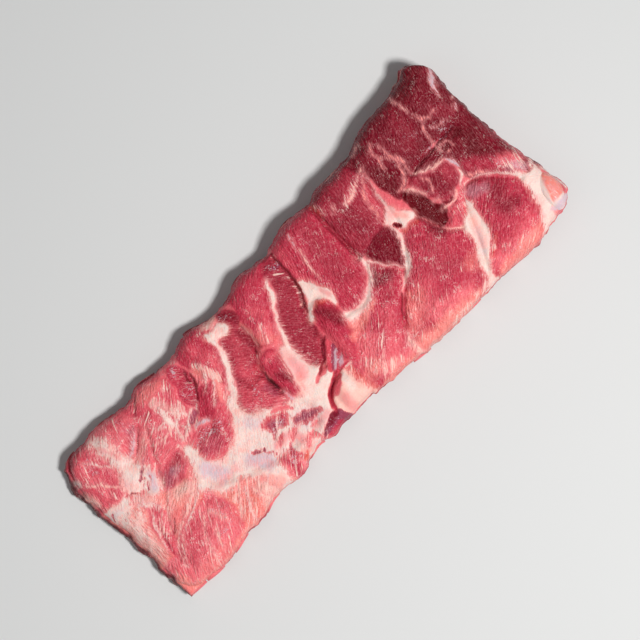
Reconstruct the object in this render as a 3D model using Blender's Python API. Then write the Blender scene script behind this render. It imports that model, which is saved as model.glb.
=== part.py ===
"""A raw rack of pork spareribs, trimmed square, lying on its bone side with the meat side up.

+X runs along the rack to its thick shoulder end and +Y across it to the sawn bone ends. The sizes
and places below are millimetres on the rack's own plan, and MM turns them into metres once, where the
points of each object are set. PLAN_CENTRE is the point of the plan that becomes the origin, so that
the origin is at the middle of the rack's box, on the surface that it lies on.
"""

import math

import bmesh
import bpy
import numpy as np

MM = 0.001
PLAN_CENTRE = (-5.8, -2.4)

# The plan of the rack, seen from above: four edges between its corners.
CORNER_LOW_LEFT = (-180.5, -54.5)
CORNER_LOW_RIGHT = (167.0, -65.5)
CORNER_HIGH_LEFT = (-174.0, 57.5)
CORNER_HIGH_RIGHT = (165.5, 61.5)
LOW_EDGE = [
    (-168, -56), (-154, -58), (-140, -57.5), (-126, -55.5), (-112, -56.5), (-99, -53.5), (-88, -54.5),
    (-76, -57), (-66, -54), (-54, -52.2), (-45, -56), (-30, -55), (-9, -55.2), (-5, -57.5), (18, -61),
    (45, -65.3), (80, -67.3), (112, -69), (133, -72.3), (147, -69.8), (160, -69.5),
]
HIGH_EDGE = [
    (-165, 61.5), (-152, 61), (-138, 60.8), (-125, 58), (-116, 56.8), (-104, 59.5), (-92, 57),
    (-75, 54.5), (-60, 59), (-46, 54.5), (-32, 52.4), (-20, 55), (-9, 57), (6, 54.2), (14, 53),
    (26, 56.5), (38, 57.5), (52, 54.6), (65, 56.3), (88, 55.4), (100, 57.5), (116, 61), (134, 61.5),
    (150, 63), (157, 67.5), (162, 66),
]
LEFT_EDGE = [(-179.5, -42), (-178.6, -25), (-177.8, -8), (-178.6, 14), (-178.2, 32), (-176.2, 48)]
RIGHT_EDGE = [(171.5, -60), (171, -46), (169.3, -30), (167, -10), (167, 12), (167.8, 32), (170.6, 52)]

# Thickness.
THICK_LEFT = 23.0
THICK_RIGHT = 33.0
THICKENS_FROM = -110.0
THICKENS_TO = 120.0
RIM_SHARE = 0.60  # height of the side wall's top, as a share of the thickness
EDGE_ROUND = 13.0  # how far in from the outline the top has turned down
UNDER_RIM = 3.0  # height of the side wall's foot
FOOT_INSET = 3.0
WALL_BULGE = 1.4
LEFT_SLANT = 6.5  # the cut left end leans out towards its foot by this much
LEFT_TAB = 3.5  # a loose tab of meat low on the left end
LEFT_TAB_Y = 47.0
LEFT_TAB_HALF = 6.0
CORNER_EASE = 0.6  # how much of the left end's lean is lost towards its corners
WALL_WAVE = 0.7
WAVE_TURN = 0.35  # radians of the left wall's wave in a millimetre

# Ribs, from the left end. Each crosses the rack on a slant and stays level in height.
FIRST_RIB_X = -171.5
RIB_PITCH = [24, 33, 39, 44, 45, 43, 41, 38]
RIB_SLANT = [0.05, 0.20, 0.32, 0.42, 0.42, 0.42, 0.40, 0.35, 0.28]
RIB_BOW = 0.0006  # how far a rib bows sideways, for each square millimetre across the rack
RIB_HEIGHT = 8.0
RIB_HALF_WIDTH = 6.6
RIB_HALF_DEPTH = 4.8
RIB_END_SWELL = 0.10
RIB_PROUD = 0.7  # how far a sawn end stands out of the meat
RIB_SIDES = 10
RIB_CUTS = 7
MEAN_WIDTH = 116.0
FIT_GAP = 0.3
CUT_PAST = 7.0  # how far a tunnel's cutter goes on beyond the rib's ends
VALLEY_DEPTH = 2.4  # how far the underside lies above the table between two ribs
VALLEY_HALF = 9.0

# The gristle that shows at the right-hand lower corner.
GRISTLE_AT = (161.0, -54.5, 27.6)
GRISTLE_HALF = (7.5, 13.5, 7.4)
GRISTLE_TURN = -14.0

# Raised muscles and fat: points of a centre line with the half width there, and the height.
SWELLS = [
    ([(-164, 50, 12), (-162, 24, 8)], 1.6),
    ([(-138, 52, 11), (-146, 38, 7)], 1.2),
    ([(-101, 53, 11), (-108, 38, 9), (-122, 22, 11)], 1.4),
    ([(-60, 54, 9), (-61, 40, 8), (-68, 29, 7), (-80, 13, 7), (-87, 3, 5)], 2.0),
    ([(-10, 51, 12), (-20, 31, 9), (-30, 13, 7)], 2.2),
    ([(33, 46, 16), (33, 22, 16), (33, 0, 13)], 3.0),
    ([(11, 4, 8), (9, -11, 9), (2, -28, 6)], 3.4),
    ([(-36, 8, 7), (-37, -5, 8), (-37, -15, 6)], 3.0),
    ([(-103, -1, 8), (-90, -3, 8)], 1.6),
    ([(-62, 0, 9), (-57, -10, 9)], 1.4),
    ([(68, 45, 14), (66, 18, 13), (62, -4, 8)], 2.2),
    ([(50, -16, 10), (27, -31, 14), (9, -46, 11)], 2.4),
    ([(88, -10, 9), (77, -34, 21), (63, -52, 17)], 4.4),
    ([(133, -25, 13), (133, -45, 18), (126, -56, 14)], 4.2),
    ([(151, 0, 15), (155, -18, 11)], 2.0),
    ([(99, 45, 9), (99, 22, 8)], 1.8),
    ([(124, 42, 13)], 1.6),
    ([(152, 44, 14)], 2.0),
    ([(121, 5, 10), (124, -6, 8)], 1.0),
    ([(-16, -38, 8), (-16, -50, 9)], 3.0),
    ([(-150, -40, 18), (-132, -38, 13)], 2.2),
    ([(-168, 2, 9), (-166, -22, 8)], 1.4),
]
# Strips between the ribs and hollows in the fat, which lie lower.
HOLLOWS = [
    ([(7, 45, 6), (0, 27, 9), (-11, 0, 9), (-16, -11, 6)], 2.2),
    ([(-36, 45, 7), (-43, 29, 10), (-50, 13, 9)], 2.2),
    ([(-79, 43, 5), (-86, 30, 6), (-95, 20, 5)], 2.0),
    ([(-128, 40, 6), (-140, 31, 4)], 1.6),
    ([(-110, -15, 8), (-85, -24, 12), (-50, -33, 12)], 2.2),
    ([(101, 4, 5), (103, -14, 6)], 3.0),
    ([(-133, 2, 7), (-146, 14, 5)], 1.4),
]
# Narrow folds where one muscle meets or overlaps the next.
FOLDS = [
    ([(53, 53), (52, 28), (50, 8)], 3.0),
    ([(14, 48), (11, 27), (4, 15)], 3.2),
    ([(-32, 35), (-33, 20), (-38, 17)], 2.6),
    ([(-44, 11), (-45, 0), (-45, -11)], 3.4),
    ([(-4, -8), (-10, -14), (-15, -21)], 3.4),
    ([(-32, -46), (-25, -35), (-11, -30)], 2.6),
    ([(38, -42), (46, -34), (56, -25), (63, -18)], 2.8),
    ([(94, -2), (99, -20), (107, -28)], 3.0),
    ([(87, 33), (84, 9), (77, -5), (65, -20)], 2.0),
    ([(118, -21), (108, -41), (96, -60)], 2.2),
    ([(54, 0), (62, -17)], 2.0),
    ([(18, -10), (32, -13), (44, -5), (51, 3)], 1.8),
    ([(95, 11), (104, 16), (122, 19), (150, 19)], 2.0),
    ([(124, -11), (135, -13), (145, -23), (155, -35)], 2.4),
    ([(-120, 36), (-140, 5), (-158, -18)], 1.8),
]
FOLD_HALF = 3.0
HOLLOW_SOFT = 6.0
DOME_SHARE = 0.7  # share of a muscle's half width over which it rises

# How finely the block is cut before the relief goes in, and how much of that is kept.
BLOCK_CUTS = (230, 84, 9)
KEEP_SHARE = 0.078

MEAT_COLOUR = (0.46, 0.05, 0.06, 1.0)
BONE_COLOUR = (0.72, 0.50, 0.42, 1.0)
GRISTLE_COLOUR = (0.74, 0.62, 0.68, 1.0)


def clear_scene():
    for obj in list(bpy.data.objects):
        bpy.data.objects.remove(obj)


def new_collection(name):
    collection = bpy.data.collections.new(name)
    bpy.context.scene.collection.children.link(collection)
    return collection


def material(name, colour, roughness):
    made = bpy.data.materials.new(name)
    made.use_nodes = True
    shader = made.node_tree.nodes["Principled BSDF"]
    shader.inputs["Base Color"].default_value = colour
    shader.inputs["Roughness"].default_value = roughness
    return made


def smooth_curve(points, per_span=12):
    """A Catmull-Rom curve through the points, sampled and spaced evenly along its length."""
    points = np.array(points, float)
    ends = np.vstack([2 * points[0] - points[1], points, 2 * points[-1] - points[-2]])
    t = np.linspace(0, 1, per_span, endpoint=False)[:, None]
    spans = []
    for before, start, end, after in zip(ends, ends[1:], ends[2:], ends[3:]):
        spans.append(
            0.5 * (2 * start + (end - before) * t + (2 * before - 5 * start + 4 * end - after) * t**2
                   + (3 * start - before - 3 * end + after) * t**3)
        )
    curve = np.vstack([*spans, points[-1:]])
    along = np.concatenate([[0], np.cumsum(np.linalg.norm(np.diff(curve, axis=0), axis=1))])
    even = np.linspace(0, along[-1], len(curve) * 2)
    return np.stack([np.interp(even, along, column) for column in curve.T], axis=1)


def on_curve(curve, share):
    """The points of a sampled curve at these shares of its length."""
    at = np.linspace(0, 1, len(curve))
    return np.stack([np.interp(share, at, column) for column in curve.T], axis=-1)


LOW = smooth_curve([CORNER_LOW_LEFT, *LOW_EDGE, CORNER_LOW_RIGHT])
HIGH = smooth_curve([CORNER_HIGH_LEFT, *HIGH_EDGE, CORNER_HIGH_RIGHT])
LEFT = smooth_curve([CORNER_LOW_LEFT, *LEFT_EDGE, CORNER_HIGH_LEFT])
RIGHT = smooth_curve([CORNER_LOW_RIGHT, *RIGHT_EDGE, CORNER_HIGH_RIGHT])


def plan(u, v):
    """The place in plan of shares u along and v across the rack: a patch blended from its four edges."""
    low_left, low_right = np.array(CORNER_LOW_LEFT), np.array(CORNER_LOW_RIGHT)
    high_left, high_right = np.array(CORNER_HIGH_LEFT), np.array(CORNER_HIGH_RIGHT)
    low, high = on_curve(LOW, u), on_curve(HIGH, u)
    left, right = on_curve(LEFT, v), on_curve(RIGHT, v)
    u, v = u[:, None], v[:, None]
    between_long = (1 - v) * low + v * high
    between_short = (1 - u) * left + u * right
    between_low = (1 - u) * low_left + u * low_right
    between_high = (1 - u) * high_left + u * high_right
    return between_long + between_short - (1 - v) * between_low - v * between_high


def smooth_step(share):
    share = np.clip(share, 0, 1)
    return share * share * (3 - 2 * share)


def thickness(x):
    share = smooth_step((x - THICKENS_FROM) / (THICKENS_TO - THICKENS_FROM))
    return THICK_LEFT + (THICK_RIGHT - THICK_LEFT) * share


def depth_inside(x, y, line):
    """How far each point lies inside a strip: its half width less the distance to its centre line."""
    line = np.array(line, float)
    if len(line) > 2:
        line = smooth_curve(line, 5)
    inside = np.full(x.shape, -1e9)
    for start, end in zip(line, line[1:] if len(line) > 1 else line):
        run = end[:2] - start[:2]
        length = max(run @ run, 1e-9)
        t = np.clip(((x - start[0]) * run[0] + (y - start[1]) * run[1]) / length, 0, 1)
        distance = np.hypot(x - start[0] - t * run[0], y - start[1] - t * run[1])
        half = start[2] + (end[2] - start[2]) * t
        inside = np.maximum(inside, half - distance)
    return inside


def relief(x, y):
    """The height that the muscles add to the top and the folds take away."""
    height = np.zeros(x.shape)
    for line, rise in SWELLS:
        height += rise * dome(x, y, line)
    for line, drop in HOLLOWS:
        height -= drop * smooth_step(depth_inside(x, y, line) / HOLLOW_SOFT + 0.5)
    for line, drop in FOLDS:
        strip = [(px, py, FOLD_HALF) for px, py in line]
        height -= drop * np.clip(depth_inside(x, y, strip) / FOLD_HALF, 0, 1) ** 1.5
    return height


def dome(x, y, line):
    """0 outside a strip, rising in a rounded arch to 1 on its centre line."""
    widest = max(half for _, _, half in line)
    share = np.clip(depth_inside(x, y, line) / (widest * DOME_SHARE), 0, 1)
    return np.sin(share * math.pi / 2)


def rib_stations():
    """x of each rib's centre line where it crosses the middle of the rack."""
    return np.cumsum([FIRST_RIB_X, *RIB_PITCH])


def rib_x(rib, y):
    bow = RIB_BOW * min(RIB_SLANT[rib] / max(RIB_SLANT), 1)
    return rib_stations()[rib] + RIB_SLANT[rib] * y - bow * y**2


def rib_ridge(x, y):
    """1 under a rib and 0 half way between two."""
    nearest = np.min([np.abs(x - rib_x(rib, y)) for rib in range(len(RIB_SLANT))], axis=0)
    return np.exp(-((nearest / VALLEY_HALF) ** 2))


def wall_offset(y, on_left, rise):
    """How far a side wall stands out of the plan outline, at a share rise of its height."""
    inset = -FOOT_INSET * (1 - rise) ** 2
    tab = LEFT_TAB * np.exp(-(((y - LEFT_TAB_Y) / LEFT_TAB_HALF) ** 2))
    slant = (LEFT_SLANT + tab) * (1 - rise)
    wave = WALL_WAVE * np.sin(y * WAVE_TURN) * np.sin(math.pi * rise)
    return inset + WALL_BULGE * np.sin(math.pi * rise) + slant * on_left + wave * on_left


def block(cuts):
    """A box from -1 to 1, cut into a grid along its three directions."""
    mesh = bmesh.new()
    bmesh.ops.create_cube(mesh, size=2.0)
    for axis, count in enumerate(cuts):
        along = [e for e in mesh.edges if abs(e.verts[0].co[axis] - e.verts[1].co[axis]) > 1e-6]
        bmesh.ops.subdivide_edges(mesh, edges=along, cuts=count, use_grid_fill=True)
    return mesh


def shaped(box):
    """Turns points of the box from -1 to 1 into points of the rack, in millimetres."""
    u, v, w = ((box + 1) / 2).T
    place = plan(u, v)
    x, y = place.T
    across = np.linalg.norm(on_curve(HIGH, u) - on_curve(LOW, u), axis=1)
    along = np.linalg.norm(on_curve(RIGHT, v) - on_curve(LEFT, v), axis=1)
    near_side = np.clip(1 - np.minimum(v, 1 - v) * across / EDGE_ROUND, 0, 1)
    near_end = np.clip(1 - np.minimum(u, 1 - u) * along / EDGE_ROUND, 0, 1)
    near = np.minimum(np.hypot(near_side, near_end), 1)
    turned_down = 1 - np.sqrt(1 - near**2)
    thick = thickness(x)
    rim = RIM_SHARE * thick
    top = rim + (thick - rim) * (1 - turned_down) + relief(x, y) * (1 - near**4)
    valley = VALLEY_DEPTH * (1 - rib_ridge(x, y)) * (1 - near)
    under = np.maximum(UNDER_RIM * turned_down, valley)
    wall = under + (np.maximum(rim, under + 1) - under) * w
    z = np.where(w > 0.999, top, np.where(w < 0.001, under, wall))
    out_x = near_end * np.where(u > 0.5, 1, -1)
    out_y = near_side * np.where(v > 0.5, 1, -1)
    length = np.maximum(np.hypot(out_x, out_y), 1e-9)
    on_left = near_end * (u < 0.5) * (1 - CORNER_EASE * near_side)
    reach = wall_offset(y, on_left, w) * np.where(w > 0.999, 0, 1) * np.maximum(near_side, near_end)
    x = x + out_x / length * reach
    y = y + out_y / length * reach
    return np.stack([x, y, z], axis=1)


def add_object(name, mesh, collection, look=None):
    """A named object from a bmesh in millimetres."""
    data = bpy.data.meshes.new(name)
    mesh.to_mesh(data)
    mesh.free()
    obj = bpy.data.objects.new(name, data)
    collection.objects.link(obj)
    if look:
        data.materials.append(look)
    return obj


def move_points(mesh, points):
    """Sets a mesh's points from their places on the plan and their heights, in millimetres."""
    points = (points - np.array([*PLAN_CENTRE, 0])) * MM
    for vert, point in zip(mesh.verts, points):
        vert.co = point


def box_points(mesh):
    return np.array([vert.co for vert in mesh.verts])


def make_meat(collection, cutters, look):
    """The slab of meat, fat and membrane, with a tunnel for each rib and a seat for the gristle."""
    mesh = block(BLOCK_CUTS)
    move_points(mesh, shaped(box_points(mesh)))
    meat = add_object("meat", mesh, collection, look)
    thin = meat.modifiers.new("fewer faces", "DECIMATE")
    thin.ratio = KEEP_SHARE
    cut = meat.modifiers.new("rib tunnels", "BOOLEAN")
    cut.operation = "DIFFERENCE"
    cut.operand_type = "COLLECTION"
    cut.collection = cutters
    keep_largest_piece(meat)
    meat.data.shade_smooth()
    return meat


def keep_largest_piece(obj):
    """Applies the modifiers and drops the loose scraps that a tunnel leaves where it breaks out of a wall."""
    evaluated = obj.evaluated_get(bpy.context.evaluated_depsgraph_get())
    mesh = bmesh.new()
    mesh.from_mesh(evaluated.to_mesh())
    pieces = []
    waiting = set(mesh.verts)
    while waiting:
        piece = set()
        front = [waiting.pop()]
        while front:
            vert = front.pop()
            piece.add(vert)
            joined = {edge.other_vert(vert) for edge in vert.link_edges} & waiting
            waiting -= joined
            front.extend(joined)
        pieces.append(piece)
    pieces.sort(key=len)
    for scrap in pieces[:-1]:
        bmesh.ops.delete(mesh, geom=list(scrap), context="VERTS")
    obj.modifiers.clear()
    mesh.to_mesh(obj.data)
    mesh.free()


def rib_mesh(rib, grow=0.0, past=0.0):
    """A rib as a bar of oval section, whose ends follow the long edges of the rack.

    grow widens the section, and past adds a length at each end that goes on beyond the meat."""
    shares = list(np.linspace(0, 1, RIB_CUTS + 2))
    if past:
        shares = [-past / MEAN_WIDTH, *shares, 1 + past / MEAN_WIDTH]
    mesh = bmesh.new()
    bmesh.ops.create_cone(mesh, cap_ends=True, segments=RIB_SIDES, radius1=1, radius2=1, depth=2)
    along = [e for e in mesh.edges if abs(e.verts[0].co.z - e.verts[1].co.z) > 1e-6]
    bmesh.ops.subdivide_edges(mesh, edges=along, cuts=len(shares) - 2, use_grid_fill=True)
    round_x, round_z, axial = box_points(mesh).T
    ring = np.rint((axial + 1) / 2 * (len(shares) - 1)).astype(int)
    share = np.array(shares)[ring]
    swell = 1 + RIB_END_SWELL * (2 * share - 1) ** 2
    x = rib_x(rib, (share - 0.5) * MEAN_WIDTH) + round_x * (RIB_HALF_WIDTH + grow) * swell
    low = np.interp(x, *LOW.T) - RIB_PROUD
    high = np.interp(x, *HIGH.T) + RIB_PROUD
    y = low + (high - low) * share
    z = RIB_HEIGHT - round_z * (RIB_HALF_DEPTH + grow) * swell
    move_points(mesh, np.stack([x, y, z], axis=1))
    return mesh


def make_rib(rib, collection, cutters, look):
    bone = add_object(f"rib_{rib + 1}", rib_mesh(rib), collection, look)
    bone.data.shade_smooth()
    bone.data.set_sharp_from_angle(angle=math.radians(50))
    cutter = add_object(f"tunnel_{rib + 1}", rib_mesh(rib, FIT_GAP, CUT_PAST), cutters)
    as_cutter(cutter)


def make_gristle(collection, cutters, look):
    """The lump of gristle and the seat cut for it."""
    for grow, target, name in ((0.0, collection, "gristle"), (FIT_GAP, cutters, "gristle_seat")):
        mesh = bmesh.new()
        bmesh.ops.create_uvsphere(mesh, u_segments=16, v_segments=10, radius=1)
        turn = math.radians(GRISTLE_TURN)
        x, y, z = (box_points(mesh) * (np.array(GRISTLE_HALF) + grow)).T
        turned_x = x * math.cos(turn) - y * math.sin(turn)
        turned_y = x * math.sin(turn) + y * math.cos(turn)
        move_points(mesh, np.stack([turned_x, turned_y, z], axis=1) + np.array(GRISTLE_AT))
        obj = add_object(name, mesh, target, look if grow == 0 else None)
        obj.data.shade_smooth()
        if grow:
            as_cutter(obj)


def as_cutter(obj):
    obj.hide_render = True
    obj.display_type = "WIRE"


def main():
    clear_scene()
    rack = new_collection("rack_of_ribs")
    cutters = new_collection("cutters")
    bone = material("bone", BONE_COLOUR, 0.5)
    for rib in range(len(RIB_SLANT)):
        make_rib(rib, rack, cutters, bone)
    make_gristle(rack, cutters, material("gristle", GRISTLE_COLOUR, 0.3))
    make_meat(rack, cutters, material("meat", MEAT_COLOUR, 0.35))


main()
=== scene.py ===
"""The looks of a raw rack of pork spareribs, laid out as an add-on and run as a script.

The rack lies bone side down. Its top, sides and membrane are one fine skin that stands for the packed
slab, and each rib and the gristle gets a detailed piece of its own. Places on the rack are millimetres
on its plan, +X towards the thick end and +Y towards the sawn bone ends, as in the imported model's source.
PLAN_CENTRE is the point of the plan that lies at the origin.
"""

import math

import bmesh
import bpy
import numpy as np
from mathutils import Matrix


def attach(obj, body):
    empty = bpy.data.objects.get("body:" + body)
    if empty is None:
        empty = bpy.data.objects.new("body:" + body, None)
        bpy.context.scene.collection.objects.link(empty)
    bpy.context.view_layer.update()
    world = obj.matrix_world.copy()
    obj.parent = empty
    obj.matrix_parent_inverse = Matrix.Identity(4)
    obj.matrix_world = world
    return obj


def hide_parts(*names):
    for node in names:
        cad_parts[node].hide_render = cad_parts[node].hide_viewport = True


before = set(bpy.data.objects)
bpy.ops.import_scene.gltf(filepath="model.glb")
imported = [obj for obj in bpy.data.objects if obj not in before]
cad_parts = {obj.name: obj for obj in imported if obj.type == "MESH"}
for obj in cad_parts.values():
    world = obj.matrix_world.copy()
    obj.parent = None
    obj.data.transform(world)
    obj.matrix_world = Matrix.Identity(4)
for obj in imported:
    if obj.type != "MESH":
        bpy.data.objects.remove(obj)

bl_info = {
    "name": "Raw rack of ribs",
    "version": (1, 0, 0),
    "blender": (4, 5, 0),
    "location": "3D View > Sidebar > Ribs",
    "description": "Builds the meat, bones and gristle of a raw rack of ribs round its packed model",
    "category": "Object",
}

MM = 0.001
TINY = 1e-9
PLAN_CENTRE = (-5.8, -2.4)

# The plan of the rack: four edges between its corners.
CORNER_LOW_LEFT = (-180.5, -54.5)
CORNER_LOW_RIGHT = (167.0, -65.5)
CORNER_HIGH_LEFT = (-174.0, 57.5)
CORNER_HIGH_RIGHT = (165.5, 61.5)
LOW_EDGE = [
    (-168, -56), (-154, -58), (-140, -57.5), (-126, -55.5), (-112, -56.5), (-99, -53.5), (-88, -54.5),
    (-76, -57), (-66, -54), (-54, -52.2), (-45, -56), (-30, -55), (-9, -55.2), (-5, -57.5), (18, -61),
    (45, -65.3), (80, -67.3), (112, -69), (133, -72.3), (147, -69.8), (160, -69.5),
]
HIGH_EDGE = [
    (-165, 61.5), (-152, 61), (-138, 60.8), (-125, 58), (-116, 56.8), (-104, 59.5), (-92, 57),
    (-75, 54.5), (-60, 59), (-46, 54.5), (-32, 52.4), (-20, 55), (-9, 57), (6, 54.2), (14, 53),
    (26, 56.5), (38, 57.5), (52, 54.6), (65, 56.3), (88, 55.4), (100, 57.5), (116, 61), (134, 61.5),
    (150, 63), (157, 67.5), (162, 66),
]
LEFT_EDGE = [(-179.5, -42), (-178.6, -25), (-177.8, -8), (-178.6, 14), (-178.2, 32), (-176.2, 48)]
RIGHT_EDGE = [(171.5, -60), (171, -46), (169.3, -30), (167, -10), (167, 12), (167.8, 32), (170.6, 52)]

# The side walls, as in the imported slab, and how far the finer skin keeps inside them.
THICKENS_FROM = -110.0
THICKENS_TO = 120.0
RIM_SHARE = 0.60
EDGE_ROUND = 13.0
UNDER_RIM = 3.0
FOOT_INSET = 3.0
WALL_BULGE = 1.4
LEFT_SLANT = 6.5
LEFT_TAB = 3.5
LEFT_TAB_Y = 47.0
LEFT_TAB_HALF = 6.0
CORNER_EASE = 0.6
WALL_WAVE = 0.7
WAVE_TURN = 0.35
RAGGED_SIZE = 7.0
EDGE_PULL = 0.9
MEAN_THICKNESS = 28.0

# The ribs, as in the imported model.
FIRST_RIB_X = -171.5
RIB_PITCH = [24, 33, 39, 44, 45, 43, 41, 38]
RIB_SLANT = [0.05, 0.20, 0.32, 0.42, 0.42, 0.42, 0.40, 0.35, 0.28]
RIB_BOW = 0.0006
RIB_HEIGHT = 8.0
RIB_HALF_WIDTH = 6.6
RIB_HALF_DEPTH = 4.8
RIB_END_SWELL = 0.10
RIB_PROUD = 0.7
MEAN_WIDTH = 116.0
VALLEY_DEPTH = 2.4
VALLEY_HALF = 9.0

# The gristle at the right-hand lower corner.
GRISTLE_AT = (161.0, -54.5, 27.6)
GRISTLE_HALF = (7.5, 13.5, 7.4)
GRISTLE_TURN = -14.0
GRISTLE_FLECK = [
    (166.5, -42), (168.6, -50), (169.4, -60), (163, -60.5), (156.6, -60), (159, -53), (162, -46),
]
GRISTLE_WET = [(154, -64.5, 2), (160, -64.5, 2.6), (166, -64, 2)]

# Raised muscles and fat: points of a centre line with the half width there, and the height.
SWELLS = [
    ([(-164, 50, 12), (-162, 24, 8)], 1.6),
    ([(-138, 52, 11), (-146, 38, 7)], 1.2),
    ([(-101, 53, 11), (-108, 38, 9), (-122, 22, 11)], 1.4),
    ([(-60, 54, 9), (-61, 40, 8), (-68, 29, 7), (-80, 13, 7), (-87, 3, 5)], 2.0),
    ([(-10, 51, 12), (-20, 31, 9), (-30, 13, 7)], 2.2),
    ([(33, 46, 16), (33, 22, 16), (33, 0, 13)], 3.0),
    ([(11, 4, 8), (9, -11, 9), (2, -28, 6)], 3.4),
    ([(-36, 8, 7), (-37, -5, 8), (-37, -15, 6)], 3.0),
    ([(-103, -1, 8), (-90, -3, 8)], 1.6),
    ([(-62, 0, 9), (-57, -10, 9)], 1.4),
    ([(68, 45, 14), (66, 18, 13), (62, -4, 8)], 2.2),
    ([(50, -16, 10), (27, -31, 14), (9, -46, 11)], 2.4),
    ([(88, -10, 9), (77, -34, 21), (63, -52, 17)], 4.4),
    ([(133, -25, 13), (133, -45, 18), (126, -56, 14)], 4.2),
    ([(151, 0, 15), (155, -18, 11)], 2.0),
    ([(99, 45, 9), (99, 22, 8)], 1.8),
    ([(124, 42, 13)], 1.6),
    ([(152, 44, 14)], 2.0),
    ([(121, 5, 10), (124, -6, 8)], 1.0),
    ([(-16, -38, 8), (-16, -50, 9)], 3.0),
    ([(-150, -40, 18), (-132, -38, 13)], 2.2),
    ([(-168, 2, 9), (-166, -22, 8)], 1.4),
]
# Strips between the ribs and hollows in the fat, which lie lower.
HOLLOWS = [
    ([(7, 45, 6), (0, 27, 9), (-11, 0, 9), (-16, -11, 6)], 2.2),
    ([(-36, 45, 7), (-43, 29, 10), (-50, 13, 9)], 2.2),
    ([(-79, 43, 5), (-86, 30, 6), (-95, 20, 5)], 2.0),
    ([(-128, 40, 6), (-140, 31, 4)], 1.6),
    ([(-110, -15, 8), (-85, -24, 12), (-50, -33, 12)], 2.2),
    ([(101, 4, 5), (103, -14, 6)], 3.0),
    ([(-133, 2, 7), (-146, 14, 5)], 1.4),
]
# Narrow folds where one muscle meets or overlaps the next, with the depth.
FOLDS = [
    ([(53, 53), (52, 28), (50, 8)], 3.0),
    ([(14, 48), (11, 27), (4, 15)], 3.2),
    ([(-32, 35), (-33, 20), (-38, 17)], 2.6),
    ([(-44, 11), (-45, 0), (-45, -11)], 3.4),
    ([(-4, -8), (-10, -14), (-15, -21)], 3.4),
    ([(-32, -46), (-25, -35), (-11, -30)], 2.6),
    ([(38, -42), (46, -34), (56, -25), (63, -18)], 2.8),
    ([(94, -2), (99, -20), (107, -28)], 3.0),
    ([(87, 33), (84, 9), (77, -5), (65, -20)], 2.0),
    ([(118, -21), (108, -41), (96, -60)], 2.2),
    ([(54, 0), (62, -17)], 2.0),
    ([(18, -10), (32, -13), (44, -5), (51, 3)], 1.8),
    ([(95, 11), (104, 16), (122, 19), (150, 19)], 2.0),
    ([(124, -11), (135, -13), (145, -23), (155, -35)], 2.4),
    ([(-120, 36), (-140, 5), (-158, -18)], 1.8),
]
FOLD_HALF = 3.0
HOLLOW_SOFT = 6.0
DOME_SHARE = 0.7

# Small forms on the skin, in millimetres: the depth of a crease, and how far the whole skin is sunk so
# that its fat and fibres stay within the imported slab.
CREASE_DEPTH = 1.1
SKIN_SUNK = 0.8

# Soft edges are counted within this distance of a strip or an outline. Beyond it a point is far.
SOFT_REACH = 14.0
FAR = 99.0

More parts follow.
